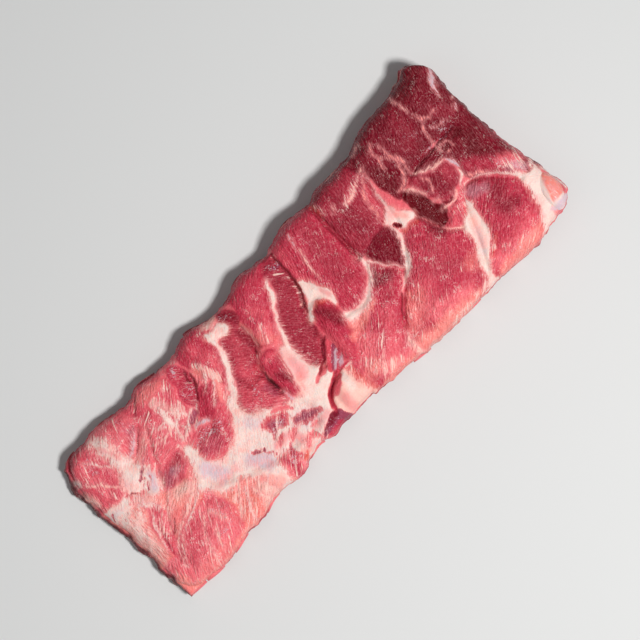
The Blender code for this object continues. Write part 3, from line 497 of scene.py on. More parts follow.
# Seams and streaks of fat: tone, softness, and a centre line with half widths.
SEAMS = [
    ("cream", 1.0, [
        (2, 42, 0.4), (-1, 38, 1.3), (-3, 33, 1.7), (-8, 28, 1.2), (-10, 24, 0.9), (-14, 17.5, 1),
        (-17, 13, 1.2), (-20, 7, 1.6), (-23, 2, 2),
    ]),
    ("cream", 1.1, [
        (-49, 41, 1.2), (-50.5, 34, 1.4), (-54, 28, 2), (-58, 20, 2), (-63, 14, 2.2), (-68, 8, 2.2),
        (-72, 2, 2.5),
    ]),
    ("cream", 1.1, [
        (-103, 40, 0.8), (-105, 33, 2), (-106, 25, 1.4), (-108, 18, 0.9), (-109.5, 13, 0.6),
    ]),
    ("cream", 1.0, [(-110, 14, 0.9), (-101, 17.5, 1.2), (-97, 21, 1), (-91, 23, 0.6)]),
    ("lilac", 1.0, [(-97, 14, 0.8), (-92, 12, 1.2), (-89, 10, 0.8)]),
    ("lilac", 0.9, [(-141, 31, 0.5), (-134, 34.5, 0.8), (-127, 39, 0.5)]),
    ("peach", 1.0, [(-67, 38, 0.8), (-67, 32, 1), (-64, 25, 0.8)]),
    ("peach", 0.8, [(29.5, 39, 0.2), (27, 32, 0.5), (25, 24, 0.4), (24, 17, 0.1)]),
    ("lilac", 0.8, [(32, 50, 0.1), (30, 46, 0.4), (28, 41, 0.2)]),
    ("cream", 1.6, [
        (18, -10, 1.6), (19.6, -13, 3), (25, -14.6, 2.6), (32, -13.6, 1.9), (38, -10.6, 1.4),
        (44, -7, 1.2), (48, -3, 1.4), (50.5, 2, 1.6), (51, 6, 1.1), (50, 9, 0.4),
    ]),
    ("cream", 0.8, [(52, 3, 0.6), (54.5, -1.6, 0.8), (58, -7, 0.4), (61, -13, 0.4), (63, -18, 0.6)]),
    ("cream", 0.9, [(90.5, 37, 0), (88.5, 29, 0.3), (86.5, 23, 0.7), (84.5, 16, 1.3)]),
    ("salmon", 0.9, [(91, 40, 0.2), (84, 34, 0.4), (79.5, 25, 0.3), (76.5, 14, 0.1)]),
    ("peach", 0.9, [(70, 36, 0), (76, 37, 1), (80, 38.6, 0.4), (88, 41.5, 0), (93, 43, 0.4)]),
    ("cream", 1.0, [
        (79, 8, 0.7), (78, 3, 0.9), (77, -3, 1), (74, -9, 1.3), (70, -15, 1.8), (65, -20, 1.8),
        (60, -23, 1.1), (52, -28, 0.2),
    ]),
    ("peach", 0.8, [(93, -2, 0.1), (96, -10, 0), (99, -20, 0.3), (104, -25, 0.8), (109, -28, 1.2)]),
    ("salmon", 0.8, [(107, 50, 0), (103.5, 45, 0.1), (104, 39, 0.1), (102, 33, 0)]),
    ("salmon", 0.8, [
        (110, 45, 0), (110.5, 35, 0.2), (112, 31, 0.2), (109, 24, 0.2), (105, 18.6, 0.3),
        (99, 16.6, 0.1),
    ]),
    ("salmon", 0.8, [(113, 33, 0), (113.4, 26, 0.1), (111, 19, 0)]),
    ("peach", 0.8, [(138, 61, 0.2), (138.6, 53, 0.2), (138.6, 46, 0)]),
    ("salmon", 0.8, [
        (139, 41, 0), (139.6, 36, 0.3), (136, 30, 0.1), (134.6, 22, 0.1), (134, 15, 0.2),
        (137, 10, 0.1),
    ]),
    ("salmon", 0.8, [(139.6, 36, 0), (145, 33, 0.1), (150, 34, 0)]),
    ("salmon", 0.8, [(104, 39, 0), (108, 36, 0), (112, 31, 0.1)]),
    ("lilac", 0.8, [(141, 29, 0), (145, 25.6, 0.1), (150, 25, 0)]),
    ("salmon", 0.8, [(136, 16, 0), (140, 15, 0.1), (142, 11, 0)]),
    ("peach", 0.9, [(112, 18, 0.3), (116, 14, 0.7), (120.6, 11.6, 0.6), (123, 9, 0.8), (130, 9, 0.7)]),
    ("peach", 0.9, [(101, 15, 0.3), (103.6, 11, 0.7), (104.6, 7.6, 0.3), (107, 2.6, 0.5)]),
    ("salmon", 0.8, [(107, -3, 0.3), (110, -5, 0.3), (110, -9, 0.1)]),
    ("peach", 1.0, [(108.4, -11, 0.5), (113, -13, 0.8), (116.6, -13.4, 0.7), (120.6, -10.4, 0.5)]),
    ("salmon", 0.8, [(113, 11, 0), (115, 6, 0.2), (111.6, 1, 0)]),
    ("lilac", 0.9, [(131.6, 8, 0.6), (133.6, 4, 1.2), (133.6, 0, 0.7)]),
    ("cream", 0.9, [(132.4, -2, 0.6), (132, -6, 0.9), (127.4, -8.8, 0.7), (123.6, -12.6, 0.2)]),
    ("cream", 0.8, [
        (121, -20, 0.2), (125, -14, 0.3), (130.4, -11, 0.5), (136, -12.6, 0.4), (142, -17, 0.5),
        (147, -22.4, 0.6), (151, -28, 0.8), (156, -35, 1.4),
    ]),
    ("salmon", 0.8, [(134, -8, 0), (139, -12, 0.2), (144, -18, 0)]),
    ("cream", 0.8, [(165, -35, 0.9), (168.6, -32, 1)]),
    ("cream", 0.9, [(169, -39, 0.8), (171, -48, 1.4), (172, -60, 1.6)]),
    ("lilac", 0.8, [(158, 38, 0), (161, 43, 1.2), (165, 48, 1.9), (169, 53, 0.8)]),
    ("cream", 0.9, [(164, 30.8, 0.4), (168, 31, 0.4)]),
    ("lilac", 0.8, [(160.6, 24, 0.2), (162, 27, 0.3)]),
    ("peach", 0.9, [(96, 53, 0.3), (101, 56.6, 0.5)]),
    ("peach", 0.9, [(60.4, 39, 0.1), (63.4, 42, 0.3)]),
    ("lilac", 1.0, [(152, -62, 1.6), (158, -65, 2.2), (166, -65, 1.8)]),
    ("peach", 1.0, [(-121, -46, 0.2), (-112, -36, 0.8), (-103, -28, 1)]),
    ("peach", 1.0, [(-103, -38, 0.3), (-101.4, -46, 0.9), (-99, -54, 1.2)]),
    ("peach", 1.0, [(-94, -38, 0.3), (-92, -46, 0.8), (-88, -53, 0.8)]),
    ("peach", 0.9, [(-143, -50, 0), (-139.6, -43, 0.4), (-136.6, -38, 0.1)]),
    ("cream", 0.9, [(-117, -54, 0.4), (-111, -44, 0.9), (-106, -35, 0.6)]),
    ("cream", 0.8, [(-107, 40, 0.4), (-101, 31, 0.9), (-96, 23, 0.6)]),
    ("cream", 0.8, [(-107, 22, 0.8), (-100, 27, 1.0), (-93, 33, 0.4)]),
    ("cream", 0.8, [(-113, 30, 0.3), (-106, 24, 0.8), (-101, 18, 0.6)]),
    ("cream", 0.8, [(-122, 36, 0.1), (-113, 31, 0.5), (-107, 30, 0.7)]),
    ("peach", 0.8, [(-124, 27, 0.1), (-115, 24, 0.5), (-108, 26, 0.6)]),
    ("cream", 0.8, [(-162, 54, 0.2), (-157, 45, 0.6), (-152, 36, 0.7)]),
    ("cream", 0.8, [(-150, 42, 0.6), (-146, 48, 0.8), (-139, 54, 0.3)]),
    ("cream", 0.8, [(-148, 34, 0.5), (-141, 40, 0.6), (-132, 43, 0.2)]),
    ("peach", 0.8, [(-171, 40, 0.3), (-164, 33, 0.6), (-157, 25, 0.7)]),
    ("peach", 0.8, [(-150, -46, 0.3), (-143, -34, 0.5), (-134, -27, 0.3)]),
    ("cream", 0.8, [(-99, 12, 0.5), (-94, 17, 0.8), (-86, 23, 0.3)]),
    ("cream", 0.8, [(-77, 24, 0.2), (-70, 31, 0.6), (-65, 36, 0.4)]),
    ("cream", 0.8, [(-80, 14, 0.3), (-73, 20, 0.7), (-67, 28, 0.5)]),
    ("cream", 0.8, [(-155, -12, 0.2), (-146, -6, 0.6), (-138, 2, 0.3)]),
    ("cream", 0.8, [(-150, -24, 0.2), (-139, -20, 0.6), (-126, -14, 0.5)]),
    ("cream", 0.8, [(-168, -26, 0.2), (-163, -14, 0.6), (-157, -2, 0.5)]),
    ("peach", 0.9, [(-149, -49, 0), (-147, -42, 0.2)]),
    ("peach", 1.1, [(-158, -18, 0.3), (-149, -9, 0.8), (-140, 0, 0.6)]),
    ("peach", 1.1, [(-160, -26, 0.2), (-148, -19.6, 0.5), (-135, -15, 0.8), (-123, -8, 1)]),
    ("peach", 0.9, [(-166, -40, 0.1), (-160, -31, 0.4), (-152, -25, 0.1)]),
    ("cream", 0.9, [(-165, 18, 0.2), (-158, 18.6, 0.4)]),
    ("cream", 3.0, [(-179, 3, 1.5), (-171, 8, 4), (-163, 12, 2)]),
    ("cream", 2.6, [(-177, -8, 1.6), (-170, -3, 3.8), (-162, 4, 2)]),
    ("cream", 2.0, [(-176, -18, 0.6), (-171, -12, 1.8), (-166, -6, 0.8)]),
    ("peach", 1.6, [(-176, -30, 0.2), (-173, -24, 1.2), (-169, -17, 0.4)]),
    ("cream", 1.6, [(-158, 8, 0.6), (-154, 2, 1.4), (-150, -4, 0.4)]),
    ("cream", 0.9, [(-68, -13, 0.3), (-62, -16.6, 0.6), (-55, -20.6, 0.4)]),
    ("lilac", 0.9, [(-43.6, -12, 0.3), (-43.4, -20, 0.8)]),
    ("cream", 0.8, [(-6, -31.6, 0.7), (-2.4, -31.8, 0.6)]),
    ("peach", 0.9, [(7, 18, 0.4), (4, 14, 0.4)]),
    ("peach", 0.9, [(-31, 34, 0.1), (-31.6, 27, 0.4), (-32.6, 20, 0.3)]),
    ("peach", 0.9, [(5, -55, 0.3), (10, -49.6, 0.5), (17, -43, 0.1)]),
    ("peach", 0.9, [(34.6, -47, 0.4), (33, -54, 1), (32, -61, 1.4)]),
]

# Tints in the fat: tone, strength, softness, and a centre line with half widths.
TINTS = [
    ("salmon", 0.5, 4, [(-165, 6, 1), (-167, -8, 1.5)]),
    ("peach", 0.8, 5, [(-176, 4, 1.5), (-176, -10, 2)]),
    ("pink", 0.6, 3, [(-148, 50, 0.8), (-144, 38, 1)]),
    ("lilac", 0.9, 6, [(-112, -10, 5), (-109, -18, 5)]),
    ("lilac", 0.9, 6, [(-90, -26, 4), (-84, -34, 6)]),
    ("lilac", 0.9, 4, [(-144, 8, 3), (-138, 15, 3)]),
    ("lilac", 0.4, 4, [(-176, 15, 2), (-168, 14, 2)]),
    ("orange", 0.25, 6, [(-174, -10, 3), (-168, -14, 3)]),
    ("lilac", 0.5, 5, [(-48, -34, 6), (-42, -36, 5)]),
    ("pink", 0.35, 4, [(-116, -22, 2), (-100, -22, 2)]),
    ("pink", 0.6, 4, [(-72, -32, 3), (-62, -34, 3), (-58, -42, 3)]),
    ("salmon", 0.5, 5, [(-38, -22, 3), (-30, -14, 2)]),
    ("pink", 0.5, 4, [(-46, -42, 3), (-36, -42, 2)]),
    ("pink", 0.5, 5, [(-20, -44, 3), (-22, -52, 3)]),
    ("cream", 0.9, 4, [(-11, -34, 2), (-12, -42, 2)]),
    ("salmon", 0.7, 4, [(-94, -40, 3), (-88, -48, 4)]),
    ("orange", 0.5, 4, [(-64, -48, 2), (-60, -50, 2)]),
    ("pink", 0.3, 4, [(-26, -4, 2), (-27, -14, 3)]),
    ("lilac", 0.5, 5, [(-72, -10, 4), (-68, -20, 3)]),
    ("salmon", 0.6, 3, [(87, 8, 1.6), (89, 4, 1.2)]),
    ("pink", 0.5, 3, [(19, 12, 0.8), (21, 7, 0.8)]),
    ("salmon", 0.4, 4, [(116, -30, 2), (108, -44, 2)]),
    ("lilac", 0.4, 4, [(112, -36, 1), (104, -48, 1.5)]),
    ("pink", 0.4, 3, [(152, -50, 0.8), (147, -62, 1)]),
    ("pink", 0.4, 8, [(84, 16, 4), (84, 12, 4)]),
    ("pink", 0.4, 8, [(-28, 5, 3), (-28, -12, 4)]),
    ("cream", 0.6, 8, [(-72, -22, 5), (-66, -22, 5)]),
    ("pink", 0.4, 8, [(-154, 28, 4), (-154, 22, 4)]),
    ("rose", 0.3, 8, [(-154, -8, 4), (-154, -13, 4)]),
]

# Small patches of muscle and vein that lie over the fat, and two lilac strokes of painted highlight:
# tone, strength, softness, and a centre line.
PATCHES = [
    ("purple", 0.9, 2.6, [(-86, -24.6, 0.8), (-80.6, -27.4, 1.4)]),
    ("purple", 0.4, 3, [(-80, -31, 1.4), (-77, -33, 1)]),
    ("purple", 1.0, 1.6, [(-147.6, 9.6, 0.9), (-143.6, 13.6, 1.1)]),
    ("purple", 1.0, 1.6, [(-147.4, 13.6, 0.8), (-142.6, 17.4, 1)]),
    ("purple", 0.9, 1.4, [(-145.6, 18, 0.7), (-141, 20.6, 0.8)]),
    ("purple", 0.8, 1.4, [(-143, 11, 0.6), (-139.6, 15, 0.8)]),
    ("purple", 0.5, 2, [(-139, 8, 1), (-134, 12, 1.4)]),
    ("purple", 0.5, 2, [(-140, 21, 1), (-135, 25, 0.6)]),
    ("purple", 0.6, 1, [(-174, 16, 0.7), (-176, 12, 0.6)]),
    ("purple", 0.8, 2, [(-96, 18, 2), (-92, 20, 2)]),
    ("crimson", 0.9, 5, [(-69, -18, 1.6), (-64, -21, 4), (-57, -23.6, 4)]),
    ("purple", 0.7, 4, [(-66, -20, 1.6), (-60, -24, 2)]),
    ("rose", 0.7, 5, [(-58, -16, 1), (-52, -19, 2), (-48, -24, 0.6)]),
    ("crimson", 0.7, 4, [(-71, -34, 1), (-67, -31, 1.8), (-64, -30, 1)]),
    ("purple", 0.5, 4, [(-70, -27, 1.4), (-66, -25, 1.6)]),
    ("rose", 0.6, 5, [(-64, -38, 1.4), (-58, -34, 2)]),
    ("pink", 0.7, 5, [(-58, -48, 1.4), (-53, -44, 2), (-50, -48, 1.4)]),
    ("pink", 0.3, 6, [(-44, -28, 0.6), (-38, -25, 1), (-33, -19, 0.6)]),
    ("purple", 0.9, 5, [(-52, -31, 1.6), (-46, -34, 3.4), (-38, -37, 1.4)]),
    ("crimson", 0.5, 3, [(-53, -35, 0.8), (-47, -37, 1.4), (-41, -38.6, 0.8)]),
    ("rose", 0.5, 4, [(-50, -40, 1), (-42, -41.6, 1)]),
    ("purple", 0.9, 1.2, [
        (-47, -51, 1.4), (-42, -49.6, 3), (-36, -48, 3.4), (-33, -50, 4), (-30, -54, 3),
    ]),
    ("maroon", 0.8, 1.2, [(-45, -49, 1), (-36, -46, 1.4), (-33, -46, 1)]),
    ("crimson", 0.8, 1.2, [(-44, -54, 1.5), (-36, -53, 2)]),
    ("crimson", 1.0, 3, [(-76, -42, 1.4), (-73, -48, 3.4), (-75, -54, 3.6)]),
    ("crimson", 0.9, 3, [(-66, -38, 1), (-69, -43, 2.4), (-66, -49, 1.4)]),
    ("crimson", 0.7, 1.4, [(-77, -32, 0.8), (-76, -36, 0.8)]),
    ("orange", 0.8, 2, [(-66, -52, 1.5), (-62, -50, 1)]),
    ("rose", 0.6, 3, [(-26, -25, 0.4), (-21, -23.4, 0.6), (-13, -22, 0.8)]),
    ("rose", 1.0, 2.4, [(-14, -26, 1), (-7, -18, 2.4), (-2, -11, 1.4)]),
    ("purple", 0.8, 1.2, [(-13, -28, 0.6), (-8, -22.6, 1), (-2.6, -17, 0.8)]),
    # Painted highlight: a lilac stroke of wet shine in the pocket.
    ("lilac", 0.9, 1, [(-11.6, -28.4, 0.4), (-7, -24.6, 1), (-3, -20.6, 0.5)]),
    ("crimson", 0.9, 1.2, [(-9, -28.6, 0.6), (-5, -25.4, 0.9), (-1, -21, 0.8)]),
    # Painted highlight: a lilac stroke of wet shine in the pocket.
    ("lilac", 0.8, 1, [(-6.6, -28.6, 0.3), (-3.4, -26, 0.8), (-1, -24, 0.3)]),
    ("crimson", 0.9, 1.8, [
        (-31, -45, 0.6), (-28, -38.6, 0.8), (-22, -33.4, 0.6), (-12, -29.4, 0.5), (-2, -31, 0.3),
    ]),
    ("rose", 0.7, 3, [(-23, -38, 0.8), (-19, -35.4, 1.4), (-13, -31.6, 1)]),
    ("salmon", 1.0, 2, [(164, -47, 1.5), (165, -54, 2.4), (163, -58, 1.8)]),
    ("deep", 1.0, 1, [(80.6, 3.4, 0.8), (81.4, 2, 0.7)]),
    ("purple", 0.8, 1.2, [(11, 44, 0.8), (14, 42, 1)]),
    ("deep", 0.9, 1.6, [(136, 13, 1.4), (139, 13, 1.4)]),
    ("deep", 0.9, 2, [(145, 14, 2), (151, 14, 2.4)]),
    ("maroon", 0.8, 1.2, [(-79, 35, 0.6), (-75.6, 42, 0.8)]),
]

# Creases with painted shade, which the skin also sinks into: tone, and a centre line with half widths.
SHADED_CREASES = [
    ("red", [(52.8, 52, 0.4), (52.4, 42, 0.7), (51.6, 28, 0.7), (50.6, 16, 0.7), (50.2, 10, 0.3)]),
    ("maroon", [(51.4, 46, 0.2), (50.6, 34, 0.5), (49.8, 20, 0.5), (49.4, 13, 0.2)]),
    ("deep", [
        (15.6, 50, 0.5), (14.6, 40, 0.6), (13, 30, 0.8), (10.6, 23, 0.8), (7, 16, 0.7), (3, 9.6, 0.5),
    ]),
    ("maroon", [(-33.4, 32, 0.4), (-33.6, 22, 0.8), (-37, 18, 0.7)]),
    ("shade_black", [(-43.6, 4, 0.5), (-44.8, -2, 1.2), (-44.4, -9, 0.8)]),
    ("maroon", [(-1, -9, 0.6), (-5, -11, 0.7), (-10, -16, 0.7), (-15, -20, 0.6), (-21, -23, 0.2)]),
    ("maroon", [(-30, -42, 0.1), (-25, -35.4, 0.3), (-17, -31, 0.3), (-12, -29.4, 0.1)]),
    ("deep", [(41, -38.6, 0.5), (46, -33, 0.7), (52, -28, 0.5)]),
    ("deep", [(93, -3, 0.3), (96, -11, 0.4), (98.6, -18, 0.3)]),
    ("deep", [(114, 17, 0.5), (124, 18, 0.4), (132, 17, 0.5)]),
    ("maroon", [(-136, 30.6, 0.3), (-129, 35, 0.5), (-122, 40.4, 0.4)]),
    ("red", [(-158, -8, 0.3), (-163, -18, 0.8), (-166, -29, 0.8)]),
    ("maroon", [(-150, -14, 0.2), (-157, -20, 0.6)]),
    ("deep", [(-74, 38, 0.5), (-78, 31, 0.9), (-84, 23.6, 0.6)]),
    ("red", [(-109, 56, 0.6), (-118, 48, 0.6)]),
    ("deep", [(112, -14.4, 0.3), (117, -14.6, 0.4)]),
    ("deep", [(109.6, -8, 0.6), (112, -11, 0.7), (116, -11.6, 0.6)]),
    ("maroon", [(-160, 18, 0.3), (-156, 16, 0.4), (-153, 12, 0.2)]),
]

# Where the muscle is threaded with fat: how much, softness, and a centre line with half widths.
MARBLED = [
    (1.0, 8, [(-146, 58, 4), (-145, 44, 5), (-146, 33, 4)]),
    (0.9, 6, [(-110, 38, 1), (-109, 24, 2), (-114, 20, 2)]),
    (1.0, 8, [(-102, 44, 5), (-100, 30, 5)]),
    (1.0, 8, [(-172, 8, 6), (-168, -8, 6), (-170, -22, 4)]),
    (0.9, 8, [(-148, -2, 4), (-158, -12, 4), (-164, -26, 3)]),
    (0.9, 7, [(-128, -12, 4), (-144, -18, 4)]),
    (0.9, 8, [(-98, -34, 5), (-94, -48, 6)]),
    (1.0, 6, [(-68, 40, 3), (-66, 26, 4), (-72, 14, 3)]),
    (1.0, 5, [(-52, 52, 2), (-44, 51, 3)]),
    (0.9, 6, [(-22, 26, 3), (-26, 16, 3)]),
    (0.8, 5, [(-56, -16, 3), (-48, -17, 3)]),
    (0.9, 7, [(4, -38, 5), (10, -50, 6), (22, -56, 4)]),
    (0.8, 6, [(28, -30, 3), (16, -42, 4)]),
    (0.8, 7, [(60, -30, 5), (52, -40, 4)]),
    (0.7, 6, [(76, -20, 2), (66, -28, 3)]),
    (0.9, 5, [(60, -64, 3), (90, -64, 4)]),
    (0.9, 5, [(66, 35, 3), (76, 38, 4), (86, 42, 2)]),
    (0.9, 5, [(56, 50, 2), (56, 42, 2)]),
    (0.7, 6, [(110, -50, 3), (122, -62, 5), (136, -64, 4)]),
    (0.9, 6, [(154, -20, 4), (160, -30, 5), (166, -20, 3)]),
    (0.8, 5, [(108, -18, 2), (118, -18, 3)]),
    (0.9, 4, [(8, 40, 2), (12, 32, 1.5), (8, 20, 1.5)]),
]

# Where painted highlights lie on the muscle: pale lilac flecks that stand for the shine of its wet surface.
HIGHLIGHT_FLECKS = [
    (1.0, 5, [(-79, 50, 3), (-82, 46, 3)]),
    (0.9, 5, [(-88, 34, 2), (-85, 27, 4), (-80, 36, 2)]),
    (1.0, 5, [(-105, 5, 3), (-98, 6, 4), (-90, 4, 4), (-84, 4, 3)]),
    (0.8, 6, [(-130, 54, 5), (-127, 44, 4)]),
    (0.8, 6, [(-162, 50, 5), (-160, 42, 4)]),
    (0.9, 4, [(-156, 12, 3), (-154, 2, 2)]),
    (0.5, 3, [(-122, 9, 1.5), (-119, 8, 2)]),
    (0.8, 7, [(-128, -28, 4), (-124, -38, 4), (-140, -46, 4)]),
    (1.0, 4, [(-36, 48, 3), (-32, 45, 2)]),
    (1.0, 4, [(8, 46, 3), (13, 44, 3)]),
    (1.0, 3, [(-10, -22, 2), (-5, -25, 3), (-3, -22, 2)]),
    (0.8, 5, [(-66, -2, 3), (-60, -8, 4), (-50, 8, 3)]),
    (1.0, 4, [(-56, -23, 3), (-66, -24, 3)]),
    (1.0, 4, [(-73, -46, 3), (-66, -42, 3), (-76, -34, 2)]),
    (0.8, 3, [(-44, -51, 3), (-34, -50, 2)]),
    (0.8, 3, [(-36, -3, 2), (-34, 0, 2)]),
    (1.0, 2.5, [
        (113, 18.6, 1), (122, 20.4, 1.4), (132, 19.4, 1.4), (142, 18.6, 1.4), (156, 19.4, 0.8),
    ]),
    (0.9, 4, [(142, 26, 2), (146, 22, 3)]),
    (0.8, 4, [(126, 36, 3), (131, 32, 3)]),
    (0.9, 5, [(152, -16, 3), (158, -22, 4), (160, -32, 4)]),
    (0.6, 6, [(126, -18, 4), (136, -24, 3)]),
    (0.7, 5, [(34, 50, 4), (36, 40, 4)]),
    (0.6, 5, [(22, 34, 3), (26, 12, 4)]),
    (0.6, 8, [(20, -28, 5), (6, -44, 5)]),
    (0.6, 8, [(112, -58, 5), (128, -64, 5)]),
    (0.7, 5, [(60, 52, 3), (66, 54, 2)]),
    (0.6, 4, [(66, 24, 2), (64, 12, 3)]),
]

# The fat's depth is kept within this many soft edges, inside and outside.
FAT_RANGE = 6.0

# How far the grain shifts the edge of a wash, a patch and a seam, in millimetres, the width of a
# muscle's soft edge and of a crease's, and how far a crease's painted shade covers the tone below.
WASH_FEATHER = 1.4
PATCH_FEATHER = 1.0
SEAM_FEATHER = 0.3
MUSCLE_SOFT = 1.4
CREASE_SOFT = 1.1
CREASE_SHADE_COVER = 0.85

# The skin's fineness: cells along, across the top, down a wall and across the underside.
CELLS_ALONG = 420
CELLS_TOP = 144
CELLS_WALL = 12
CELLS_UNDER = 48

# The fineness of a rib: points round it, rows along it and the sizes of the rings on a sawn end.
RIB_ROUND = 40
RIB_ROWS = 24
RIB_END_RINGS = (1.0, 0.94, 0.84, 0.72, 0.5, 0.25)

# The fineness of the gristle, and the angle in radians that each pole's face takes.
GRISTLE_ROUND = 64
GRISTLE_ROWS = 40
GRISTLE_POLE = 0.06

# The stage. The camera looks straight down, turned so that the rack runs from low left to high right.
# A light is its place and size in metres and its power in watts.
CAMERA_OVER = (4.9, 0.15)
CAMERA_TURN = -48.5
CAMERA_FIELD = 403.2
CAMERA_RANGE = 1100.0
CAMERA_PLANE = 22.0
SENSOR = 36.0
KEY_LIGHT = ((0.26, -0.62, 1.45), 0.24, 24)
FILL_LIGHT = ((-1.2, 0.5, 1.5), 1.2, 2)
FLOOR_TONE = (0.66, 0.66, 0.65, 1.0)
FLOOR_SIZE = 6
STUDIO_TONE = (0.95, 0.97, 1.0, 1.0)
STUDIO_STRENGTH = 0.2


def colour(name, description, red, green, blue):
    """A colour property whose default is given as screen values from 0 to 255."""
    linear = [((c / 255 + 0.055) / 1.055) ** 2.4 for c in (red, green, blue)]
    return bpy.props.FloatVectorProperty(
        name=name, description=description, subtype="COLOR", size=3, min=0, max=1, default=linear
    )


def length(name, description, default):
    """A length property in metres whose default is given in millimetres."""
    return bpy.props.FloatProperty(
        name=name, description=description, default=default * MM, min=0, unit="LENGTH", subtype="DISTANCE"
    )


class RackSizes(bpy.types.PropertyGroup):
    """Sizes of the rack that a user would change."""

    thin_end: length("Thin end", "Thickness of the slab at its thin end", 23)
    thick_end: length("Thick end", "Thickness of the slab at its thick end", 33)
    fat_rise: length("Fat rise", "How far the seams of fat stand above the muscle", 0.5)
    fibre_rise: length("Fibre rise", "Height of the bundles of muscle fibre", 0.28)
    edge_ragged: length("Ragged edge", "How far the trimmed edge wanders", 0.8)


class RackTones(bpy.types.PropertyGroup):
    """Colours of the meat, fat and bone."""

    # Painted shade: the near black in the deepest creases and on the thin end's wall.
    shade_black: colour("Black", "Inside the deepest creases", 44, 8, 14)
    deep: colour("Deep", "Darkest muscle", 106, 10, 24)
    maroon: colour("Maroon", "Dark muscle", 126, 12, 35)
    red: colour("Red", "Muscle between the ribs", 172, 46, 66)
    crimson: colour("Crimson", "Muscle over the ribs", 200, 55, 79)
    rose: colour("Rose", "Muscle thinly covered with fat", 228, 88, 103)
    pink: colour("Pink", "Pale muscle", 244, 114, 123)
    salmon: colour("Salmon", "Muscle under thin fat", 254, 148, 138)
    orange: colour("Orange", "Thin fat over bright muscle", 232, 92, 74)
    peach: colour("Peach", "Thin fat", 250, 196, 182)
    cream: colour("Cream", "Thick fat", 240, 213, 203)
    lilac: colour("Lilac", "Wet membrane", 212, 186, 194)
    purple: colour("Purple", "Veins and bruised spots", 146, 62, 88)
    bone: colour("Bone", "Hard shell of a sawn rib", 222, 196, 172)
    marrow: colour("Marrow", "Spongy core of a sawn rib", 142, 52, 48)


class Rack(bpy.types.PropertyGroup):
    """All settings of the rack."""

    sizes: bpy.props.PointerProperty(type=RackSizes)
    tones: bpy.props.PointerProperty(type=RackTones)


def rack():
    """The rack's settings on the scene."""
    return bpy.context.scene.raw_rack


def tone_of(name):
    """A tone of the settings as three numbers."""
    return np.array(getattr(rack().tones, name))


def towards(tone, other, share):
    """Tones moved to others by a share for each point."""
    return tone + (other - tone) * share[:, None]


def bell(offset, width):
    """1 where the offset is none, falling to both sides as the normal curve does."""
    return np.exp(-((offset / width) ** 2))


def from_plan(x, y, z):
    """Points in metres round the origin, from places on the plan and heights in millimetres."""
    return np.stack([x - PLAN_CENTRE[0], y - PLAN_CENTRE[1], z], axis=-1).reshape(-1, 3) * MM


def smooth_curve(points, per_span=12, closed=False):
    """A Catmull-Rom curve through the points: each span is the cubic whose slopes at its two ends are
    half the way from the point before to the point after."""
    points = np.array(points, float)
    if closed:
        ends = np.vstack([points[-1], points, points[0], points[1]])
    else:
        ends = np.vstack([2 * points[0] - points[1], points, 2 * points[-1] - points[-2]])
    t = np.linspace(0, 1, per_span, endpoint=False)[:, None]
    spans = []
    for before, start, end, after in zip(ends, ends[1:], ends[2:], ends[3:]):
        spans.append(
            0.5 * (2 * start + (end - before) * t + (2 * before - 5 * start + 4 * end - after) * t**2
                   + (3 * start - before - 3 * end + after) * t**3)
        )
    return np.vstack(spans if closed else [*spans, points[-1:]])


def even_curve(points):
    """The smooth curve through the points, with its samples spaced evenly along its length."""
    curve = smooth_curve(points)
    along = np.concatenate([[0], np.cumsum(np.linalg.norm(np.diff(curve, axis=0), axis=1))])
    even = np.linspace(0, along[-1], len(curve) * 2)
    return np.stack([np.interp(even, along, column) for column in curve.T], axis=1)


def on_curve(curve, share):
    """The points of a sampled curve at these shares of its length."""
    at = np.linspace(0, 1, len(curve))
    return np.stack([np.interp(share, at, column) for column in curve.T], axis=-1)


LOW = even_curve([CORNER_LOW_LEFT, *LOW_EDGE, CORNER_LOW_RIGHT])
HIGH = even_curve([CORNER_HIGH_LEFT, *HIGH_EDGE, CORNER_HIGH_RIGHT])
LEFT = even_curve([CORNER_LOW_LEFT, *LEFT_EDGE, CORNER_HIGH_LEFT])
RIGHT = even_curve([CORNER_LOW_RIGHT, *RIGHT_EDGE, CORNER_HIGH_RIGHT])


def plan(u, v):
    """The place in plan of shares u along and v across the rack: the blend between the two long edges,
    plus the blend between the two ends, less the blend between the four corners."""
    low_left, low_right = np.array(CORNER_LOW_LEFT), np.array(CORNER_LOW_RIGHT)
    high_left, high_right = np.array(CORNER_HIGH_LEFT), np.array(CORNER_HIGH_RIGHT)
    low, high = on_curve(LOW, u), on_curve(HIGH, u)
    left, right = on_curve(LEFT, v), on_curve(RIGHT, v)
    u, v = u[:, None], v[:, None]
    between_long = (1 - v) * low + v * high
    between_short = (1 - u) * left + u * right
    between_low = (1 - u) * low_left + u * low_right
    between_high = (1 - u) * high_left + u * high_right
    return between_long + between_short - (1 - v) * between_low - v * between_high


def smooth_step(share):
    """0 below 0, 1 above 1, and three times the square less twice the cube between."""
    share = np.clip(share, 0, 1)
    return share * share * (3 - 2 * share)


def noise(x, y, size, seed):
    """Smooth random values from -1 to 1: a seeded lattice of that cell size in millimetres, with the
    smooth step between its corners in both directions. The lattice repeats after its last cell."""
    cells = 128
    lattice = np.random.default_rng(seed).uniform(-1, 1, (cells, cells))
    x, y = x / size, y / size
    column, row = np.floor(x).astype(int), np.floor(y).astype(int)
    across, up = smooth_step(x - column), smooth_step(y - row)
    left, right = column % cells, (column + 1) % cells
    below, above = row % cells, (row + 1) % cells
    low = lattice[below, left] * (1 - across) + lattice[below, right] * across
    high = lattice[above, left] * (1 - across) + lattice[above, right] * across
    return low * (1 - up) + high * up


def cloud(x, y, size, seed, octaves=3):
    """A sum of noises, each half as coarse and half as strong as the last, with the next seed."""
    return sum(noise(x, y, size / 2**k, seed + k) / 2**k for k in range(octaves))


